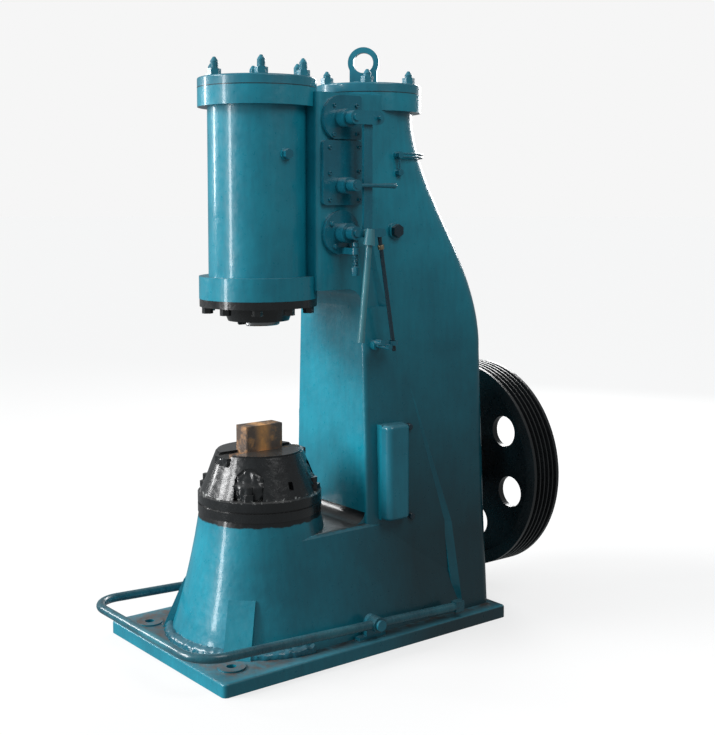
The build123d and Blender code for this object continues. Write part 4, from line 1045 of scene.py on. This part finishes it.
@dataclass
class RodCollar:
    """The pale clamping collar at the top of the pull rod."""

    radius: float = 10
    height: float = 14
    sides: int = 32
    rim: float = 3
    bevel: float = 1.0
    rod_x: float = 238
    pin_y: float = 294
    pin_z: float = 1300
    below_pin: float = 46
    lean: float = 9.5

    def build(self, bright: bpy.types.Material) -> None:
        """Models the collar on the leaning rod.

        Args:
            bright: the finish of the collar.
        """
        clear_selection()
        bpy.ops.mesh.primitive_cylinder_add(vertices=self.sides, radius=self.radius * MM,
                                            depth=self.height * MM, location=(0, 0, 0))
        ring = settle("pull_rod_collar")
        pick_faces(ring, end_face)
        bpy.ops.mesh.inset(thickness=self.rim * MM)
        bpy.ops.mesh.extrude_region_move(TRANSFORM_OT_translate={"value": (0, 0, 0)})
        clear_selection()
        finish_edges(ring, self.bevel)
        lean = math.radians(self.lean)
        where = at(self.rod_x, self.pin_y + self.below_pin * math.sin(lean),
                   self.pin_z - self.below_pin * math.cos(lean))
        ring.data.transform(where @ Matrix.Rotation(lean, 4, "X"))
        on_piece(ring, bright, Body.PULL_ROD)


@dataclass
class FootBead:
    """The rough run of metal round the pedestal's foot, where it meets the base plate."""

    radius: float = 284
    half_width: float = 20
    z: float = 42
    corners: int = 12
    steps: int = 150
    lump: float = 11
    lump_depth: float = 15

    def build(self, enamel: bpy.types.Material) -> None:
        """Spins a small ring round one half of the pedestal and roughens it.

        Args:
            enamel: the paint on it.
        """
        clear_selection()
        bpy.ops.mesh.primitive_circle_add(vertices=self.corners, radius=self.half_width * MM,
                                          fill_type="NOTHING",
                                          location=(self.radius * MM, 0, self.z * MM),
                                          rotation=(math.pi / 2, 0, 0))
        bead = settle("pedestal_foot_bead")
        bpy.ops.object.mode_set(mode="EDIT")
        bpy.ops.mesh.select_all(action="SELECT")
        bpy.ops.mesh.spin(steps=self.steps, angle=math.pi, center=(0, 0, 0), axis=(0, 0, 1))
        close_ends()
        roughen(bead, self.lump, self.lump_depth)
        on_piece(bead, enamel, Body.FRAME)


@dataclass
class WeldSeams:
    """Hand-laid weld beads round the feet of the treadle's brackets."""

    width: float = 9
    pitch: float = 5.5
    drop_steps: int = 2
    flatten: Point = (0.8, 1.0, 0.7)
    lump: float = 4
    lump_depth: float = 1.5
    sway: float = 0.15
    sway_per_drop: float = 2.3
    sway_per_side: float = 5
    nodes: Tuple[str, ...] = ("treadle_bracket_right", "treadle_bracket_left")

    def drop(self) -> bpy.types.Object:
        """Models one flattened, uneven drop of weld metal at the origin.

        Returns:
            The drop, which the seams copy.
        """
        clear_selection()
        bpy.ops.mesh.primitive_ico_sphere_add(subdivisions=self.drop_steps,
                                              radius=self.width / 2 * MM)
        drop = settle("weld_drop")
        pick_faces(drop, every_face)
        bpy.ops.transform.resize(value=self.flatten)
        clear_selection()
        roughen(drop, self.lump, self.lump_depth)
        return drop

    def build(self, enamel: bpy.types.Material) -> None:
        """Lays a seam along the long sides and the ends of each bracket's foot.

        Args:
            enamel: the paint on the seams.
        """
        drop = self.drop()
        for node in self.nodes:
            low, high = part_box(node)
            corners = ((low[0], low[1]), (high[0], low[1]), (high[0], high[1]),
                       (low[0], high[1]))
            drops = []
            for i, start in enumerate(corners):
                end = corners[(i + 1) % len(corners)]
                run = Vector((end[0] - start[0], end[1] - start[1], 0))
                count = max(1, round(run.length / (self.pitch * MM)))
                turn = math.atan2(run.y, run.x)
                for k in range(count):
                    wave = self.sway * math.sin(self.sway_per_drop * k + self.sway_per_side * i)
                    place = Vector((start[0], start[1], PLATE_TOP * MM)) + run * (k / count)
                    where = (Matrix.Translation(place) @ Matrix.Rotation(turn + wave, 4, "Z")
                             @ Matrix.Scale(1 + wave, 4))
                    drops.append(place_copy(drop, f"drop_{i}_{k}", where))
            seam = join(drops, node.replace("bracket", "weld"))
            on_piece(seam, enamel, Body.FRAME)
        discard(drop)


@dataclass
class CoverBolts:
    """The hexagon bolts above and below each side cover."""

    bolt: Fastener = Fastener(19, 11, 6, washer=26)
    y: float = 446
    # Distance from the middle plane and height of each bolt's washer.
    upper: Span = (204.1, 665)
    lower: Span = (216.0, 372)
    spin: float = 12

    def build(self, enamel: bpy.types.Material) -> None:
        """Copies one bolt to both sides of the casting.

        Args:
            enamel: the paint on the bolts.
        """
        bolt = self.bolt.build("side_bolt")
        for side, hand, facing in ((1, "right", Facing.RIGHT), (-1, "left", Facing.LEFT)):
            for level, (x, z) in (("upper", self.upper), ("lower", self.lower)):
                copy = place_copy(bolt, f"side_cover_bolt_{level}_{hand}",
                                  at(side * x, self.y, z, facing, self.spin))
                on_piece(copy, enamel, Body.FRAME)
        discard(bolt)


@dataclass
class AnvilPacking:
    """Scale, grease and black paint packed into the anvil's pockets and slot ends."""

    pocket_angles: Tuple[float, ...] = (-45, 45, 135, 225)
    pocket_r: float = 148
    pocket_z: float = 527
    pocket_half_size: Point = (17, 54, 57)
    pocket_segments: int = 48
    pocket_rings: int = 24
    pocket_foot_out: float = 7
    pocket_lean: float = -12
    pocket_lump: float = 19
    pocket_lump_depth: float = 16
    slot_x: float = 8
    slot_foot_z: float = 584
    slot_top_z: float = 609
    slot_width: float = 70
    slot_inner_y: float = 69
    slot_outer_y: float = 149
    slot_cuts: int = 24
    slot_top_share: Point = (0.88, 0.92, 1)
    slot_lump: float = 15
    slot_lump_depth: float = 7

    def build(self, paint: bpy.types.Material) -> None:
        """Models four pocket fillings and two slot fillings.

        Args:
            paint: the black paint over them.
        """
        for i, angle in enumerate(self.pocket_angles):
            self.pocket(f"pocket_packing_{i + 1}", angle, paint)
        for name, side in (("slot_packing_front", -1), ("slot_packing_rear", 1)):
            self.slot(name, side, paint)

    def pocket(self, name: str, angle: float, paint: bpy.types.Material) -> None:
        """Models one pocket's filling, which leans back with the anvil's side.

        Args:
            name: the piece's name.
            angle: the pocket's place round the anvil, in degrees.
            paint: the paint over it.
        """
        clear_selection()
        bpy.ops.mesh.primitive_uv_sphere_add(segments=self.pocket_segments,
                                             ring_count=self.pocket_rings, radius=1.0)
        filling = settle(name)
        pick_faces(filling, every_face)
        bpy.ops.transform.resize(value=tuple(half * MM for half in self.pocket_half_size))
        clear_selection()
        pick_faces(filling, lambda face: face.center.z < 0)
        bpy.ops.transform.translate(value=(self.pocket_foot_out * MM, 0, 0))
        clear_selection()
        lean = Matrix.Rotation(math.radians(self.pocket_lean), 4, "Y")
        round_anvil = Matrix.Rotation(math.radians(angle), 4, "Z")
        filling.data.transform(round_anvil @ at(self.pocket_r, 0, self.pocket_z) @ lean)
        roughen(filling, self.pocket_lump, self.pocket_lump_depth)
        on_piece(filling, paint, Body.FRAME)

    def slot(self, name: str, side: int, paint: bpy.types.Material) -> None:
        """Models the filling at one end of the die's slot.

        Args:
            name: the piece's name.
            side: 1 for the rear end and -1 for the front end.
            paint: the paint over it.
        """
        clear_selection()
        length = self.slot_outer_y - self.slot_inner_y
        height = self.slot_top_z - self.slot_foot_z
        bpy.ops.mesh.primitive_cube_add(size=1, location=(0, 0, 0))
        plug = settle(name)
        pick_faces(plug, every_face)
        bpy.ops.transform.resize(value=(self.slot_width * MM, length * MM, height * MM))
        bpy.ops.mesh.subdivide(number_cuts=self.slot_cuts)
        clear_selection()
        pick_faces(plug, top_face)
        bpy.ops.transform.resize(value=self.slot_top_share)
        clear_selection()
        middle = (self.slot_inner_y + length / 2) * side
        plug.data.transform(at(self.slot_x, middle, self.slot_foot_z + height / 2))
        roughen(plug, self.slot_lump, self.slot_lump_depth)
        on_piece(plug, paint, Body.FRAME)


class LampKind(Enum):
    """The kinds of soft lamp in the studio."""

    SUN = "SUN"
    AREA = "AREA"


@dataclass(frozen=True)
class Lamp:
    """One soft lamp, with its places in metres and its power in watts or a sun's strength.

    The sides are the width and height of an area lamp in metres, or a sun's angle in degrees.
    """

    name: str
    kind: LampKind
    place: Point
    target: Point
    power: float
    sides: Span

    def build(self) -> None:
        """Adds the lamp and turns it to its target."""
        data = bpy.data.lights.new(self.name, self.kind.value)
        data.energy = self.power
        if self.kind is LampKind.SUN:
            data.angle = math.radians(self.sides[0])
        else:
            data.shape = "RECTANGLE"
            data.size, data.size_y = self.sides
        lamp = bpy.data.objects.new(self.name, data)
        bpy.context.collection.objects.link(lamp)
        lamp.location = self.place
        look = Vector(self.target) - Vector(self.place)
        lamp.rotation_euler = look.to_track_quat("-Z", "Y").to_euler()


@dataclass
class Studio:
    """Pale floor, soft lights and the camera at the photograph's angle, in metres."""

    camera_at: Point = (3.2026, -2.1218, 1.4019)
    pitch: float = 4.68
    azimuth: float = 51.83
    lens: float = 59.89
    shift_y: float = -0.0918
    film_width_mm: float = 36
    far: float = 100
    floor_size: float = 400
    floor_drop: float = 0.0005
    floor_colour: str = "8a8a8a"
    floor_rough: float = 0.9
    floor_glow: float = 0.72
    air: str = "eef3f5"
    backdrop: str = "f6f6f6"
    bright_way: Point = (-0.55, -0.78, 0.30)
    bright_from: float = -0.1
    dim: float = 0.16
    bright: float = 0.95
    mirrored: float = 0.24
    # A soft key from the die end, two tall strips for the streaks, and weak lamps behind.
    lamps: Tuple[Lamp, ...] = (
        Lamp("studio_key", LampKind.SUN, (-2.2, -3.6, 3.4), (0.0, 0.2, 0.9), 2.5, (24.0, 0.0)),
        Lamp("strip_left", LampKind.AREA, (-4.3, -2.6, 2.3), (0.0, 0.0, 1.6), 62.0, (0.5, 1.9)),
        Lamp("strip_front", LampKind.AREA, (-0.7, -4.9, 1.6), (0.0, 0.0, 1.1), 80.0, (0.5, 2.6)),
        Lamp("upper_side", LampKind.AREA, (2.3, 0.5, 3.2), (0.2, 0.3, 1.3), 30.0, (1.6, 1.6)),
        Lamp("rear", LampKind.AREA, (-2.2, 4.2, 2.6), (0.0, 0.2, 0.9), 110.0, (2.0, 2.0)),
    )

    def build(self) -> None:
        """Sets up the floor, the lights, the world and the camera."""
        self.floor()
        for lamp in self.lamps:
            lamp.build()
        self.world()
        self.camera()

    def floor(self) -> None:
        """Lays a plain pale floor that throws no light back onto the machine."""
        clear_selection()
        bpy.ops.mesh.primitive_plane_add(size=self.floor_size,
                                         location=(0, 0, -self.floor_drop))
        floor = bpy.context.object
        floor.name = "studio_floor"
        floor.visible_diffuse = False
        floor.visible_glossy = False
        bench = NodeBench(bpy.data.materials.new("pale_studio_floor"))
        shader = bench.add("BsdfPrincipled", values={
            "Base Color": linear(self.floor_colour), "Roughness": self.floor_rough,
            "Specular IOR Level": 0.0, "Emission Color": linear("ffffff"),
            "Emission Strength": self.floor_glow})
        bench.add("OutputMaterial", {"Surface": shader.outputs["BSDF"]})
        floor.data.materials.append(bench.owner)

    def world(self) -> None:
        """Makes the air bright towards the die end, and one plain tone behind the machine."""
        bench = NodeBench(bpy.data.worlds.new("studio_world"))
        way = bench.add("TexCoord").outputs["Generated"]
        towards = bench.add("VectorMath", {0: way}, {1: Vector(self.bright_way).normalized()},
                            operation="DOT_PRODUCT")
        level = bench.add("MapRange", {"Value": towards.outputs["Value"]}, {
            "From Min": self.bright_from, "To Min": self.dim, "To Max": self.bright})
        around = bench.add("Background", {"Strength": level.outputs[0]},
                           {"Color": linear(self.air)})
        mirrored = bench.add("Background", values={"Color": linear(self.air),
                                                   "Strength": self.mirrored})
        behind = bench.add("Background", values={"Color": linear(self.backdrop)})
        seen = bench.add("LightPath")
        lit = bench.add("MixShader", {0: seen.outputs["Is Glossy Ray"], 1: around.outputs[0],
                                      2: mirrored.outputs[0]})
        shown = bench.add("MixShader", {0: seen.outputs["Is Camera Ray"], 1: lit.outputs[0],
                                        2: behind.outputs[0]})
        bench.add("OutputWorld", {"Surface": shown.outputs[0]})
        bpy.context.scene.world = bench.owner
        bpy.context.scene.view_settings.view_transform = "Standard"

    def camera(self) -> None:
        """Stands the camera at the photograph's angle."""
        data = bpy.data.cameras.new("photo_camera")
        data.sensor_width = self.film_width_mm
        data.lens = self.lens
        data.shift_y = self.shift_y
        data.clip_end = self.far
        camera = bpy.data.objects.new("photo_camera", data)
        bpy.context.collection.objects.link(camera)
        camera.location = self.camera_at
        camera.rotation_euler = (math.radians(90 - self.pitch), 0, math.radians(self.azimuth))
        bpy.context.scene.camera = camera


@dataclass
class Coating:
    """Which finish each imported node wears."""

    finishes: Dict[Coat, bpy.types.Material]

    def dress(self) -> None:
        """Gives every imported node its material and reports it."""
        plan = {
            Coat.FRAME: ["frame_casting"],
            Coat.GEAR: ["upper_valve_cover", "middle_valve_cover", "lower_valve_cover", "detent",
                        "upper_valve_arm", "lower_valve_arm", "link_bar", "mode_lever",
                        "rod_guide", "cylinder_plug", "oil_pipe"],
            Coat.COVERS: ["working_cylinder_cover", "compressor_cylinder_cover", "lifting_eye",
                          "working_cover_studs", "compressor_cover_studs", "side_cover_right",
                          "side_cover_left", "bearing_housing", "treadle_bracket_right",
                          "treadle_bracket_left", "treadle_pin_right", "treadle_pin_left"],
            Coat.LEVER: ["hand_lever"],
            Coat.BAR: ["treadle_bar"],
            Coat.DARK: ["pull_rod", "flank_plug"],
            Coat.BLACK: ["gland", "gland_bolts", "bearing_housing_bolts", "flywheel_pulley"],
            Coat.ANVIL: ["anvil_ring", "anvil_block", "anvil_studs"],
            Coat.DIE: ["lower_die", "die_key"],
            Coat.GROUND: ["ram", "crankshaft", "shaft_key"],
        }
        for coat, nodes in plan.items():
            for node in nodes:
                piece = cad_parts[node]
                piece.data.materials.clear()
                piece.data.materials.append(self.finishes[coat])
                log.info("node %s wears %s", node, self.finishes[coat].name)


def finishes() -> Dict[Coat, bpy.types.Material]:
    """Makes every finish of the machine once.

    Returns:
        Each coat's material.
    """
    return {
        # Gloss enamel over rough grey iron: wet shine, soft lumps, dust on level faces.
        Coat.FRAME: FramePaint("teal_enamel_on_cast_iron", "128ca2", "0e788d",
                               lump_height_mm=1.3).make(),
        # The same enamel thicker on small fittings, where it pools and goes deeper.
        Coat.GEAR: Paint("teal_enamel_on_small_castings", "17758a", "0f6175", gloss=0.22,
                         lump_mm=12, lump_height_mm=0.5, dusty=0.2).make(),
        # The same enamel over turned and milled iron: smoother, with shallow lumps.
        Coat.COVERS: Paint("teal_enamel_on_machined_iron", "1f7f94", "186c80",
                           lump_height_mm=0.4).make(),
        # Enamel on a forged bar that hands have rubbed thin: greyer and paler.
        Coat.LEVER: Paint("worn_teal_enamel_on_steel_bar", "4b8c97", "2c6f7e", gloss=0.3,
                          lump_mm=9, lump_height_mm=0.3).make(),
        # Enamel on drawn rod: nearly black, with a narrow shine.
        Coat.DARK: Paint("dark_enamel_on_steel_rod", "143a49", "0c2631", gloss=0.25,
                         lump_mm=8, lump_height_mm=0.2, dusty=0.1).make(),
        # Black gloss paint over a rough casting: dark with small bright glints on its lumps.
        Coat.BLACK: Paint("black_gloss_paint_on_cast_iron", "202325", "151719", dust="5c5a58",
                          gloss=0.27, lump_mm=16, lump_height_mm=1.0, dusty=0.3).make(),
        # The same black paint on the anvil, chipped to pale metal along the ring's edge.
        Coat.ANVIL: ChippedPaint("chipped_black_paint_on_anvil", "1f2224", "131517",
                                 dust="5c5a58", gloss=0.24, lump_mm=16, lump_height_mm=1.2,
                                 dusty=0.25).make(),
        # Forged tool steel: grey-brown with an orange rust bloom across the middle of its side.
        Coat.DIE: BareSteel("rusty_forged_steel", "93857c", "6c5e55", rust="d9a062", rusted=0.5,
                            rough=0.5, band=True).make(),
        # The treadle's bar: dark enamel worn through to a deeper teal by boots.
        Coat.BAR: Paint("dark_teal_enamel_on_treadle_bar", "2a6f7d", "134655", gloss=0.25,
                        lump_mm=10, lump_height_mm=0.4, dusty=0.1).make(),
        # Ground steel: clean grey with fine turning marks.
        Coat.GROUND: BareSteel("ground_steel", "a8a9aa", "7d7f81", rusted=0.05, rough=0.3,
                               grain_mm=0.8).make(),
        # Cast bronze, dulled by air: pale yellow-grey with a soft gleam.
        Coat.PALE: BareSteel("pale_bronze_collar", "b9a98c", "8d7f66", rusted=0.1,
                             rough=0.4).make(),
    }


def main() -> None:
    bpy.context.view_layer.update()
    made = finishes()
    Studio().build()
    Coating(made).dress()
    CoverStuds().build(made[Coat.COVERS], made[Coat.BLACK])
    ValveCovers().build(made[Coat.GEAR])
    Detent().build(made[Coat.GEAR])
    RodCollar().build(made[Coat.PALE])
    FootBead().build(made[Coat.GEAR])
    WeldSeams().build(made[Coat.BAR])
    CoverBolts().build(made[Coat.DARK])
    AnvilPacking().build(made[Coat.ANVIL])
    bpy.context.view_layer.update()
    log.info("boxes written")


if __name__ == "__main__":
    main()
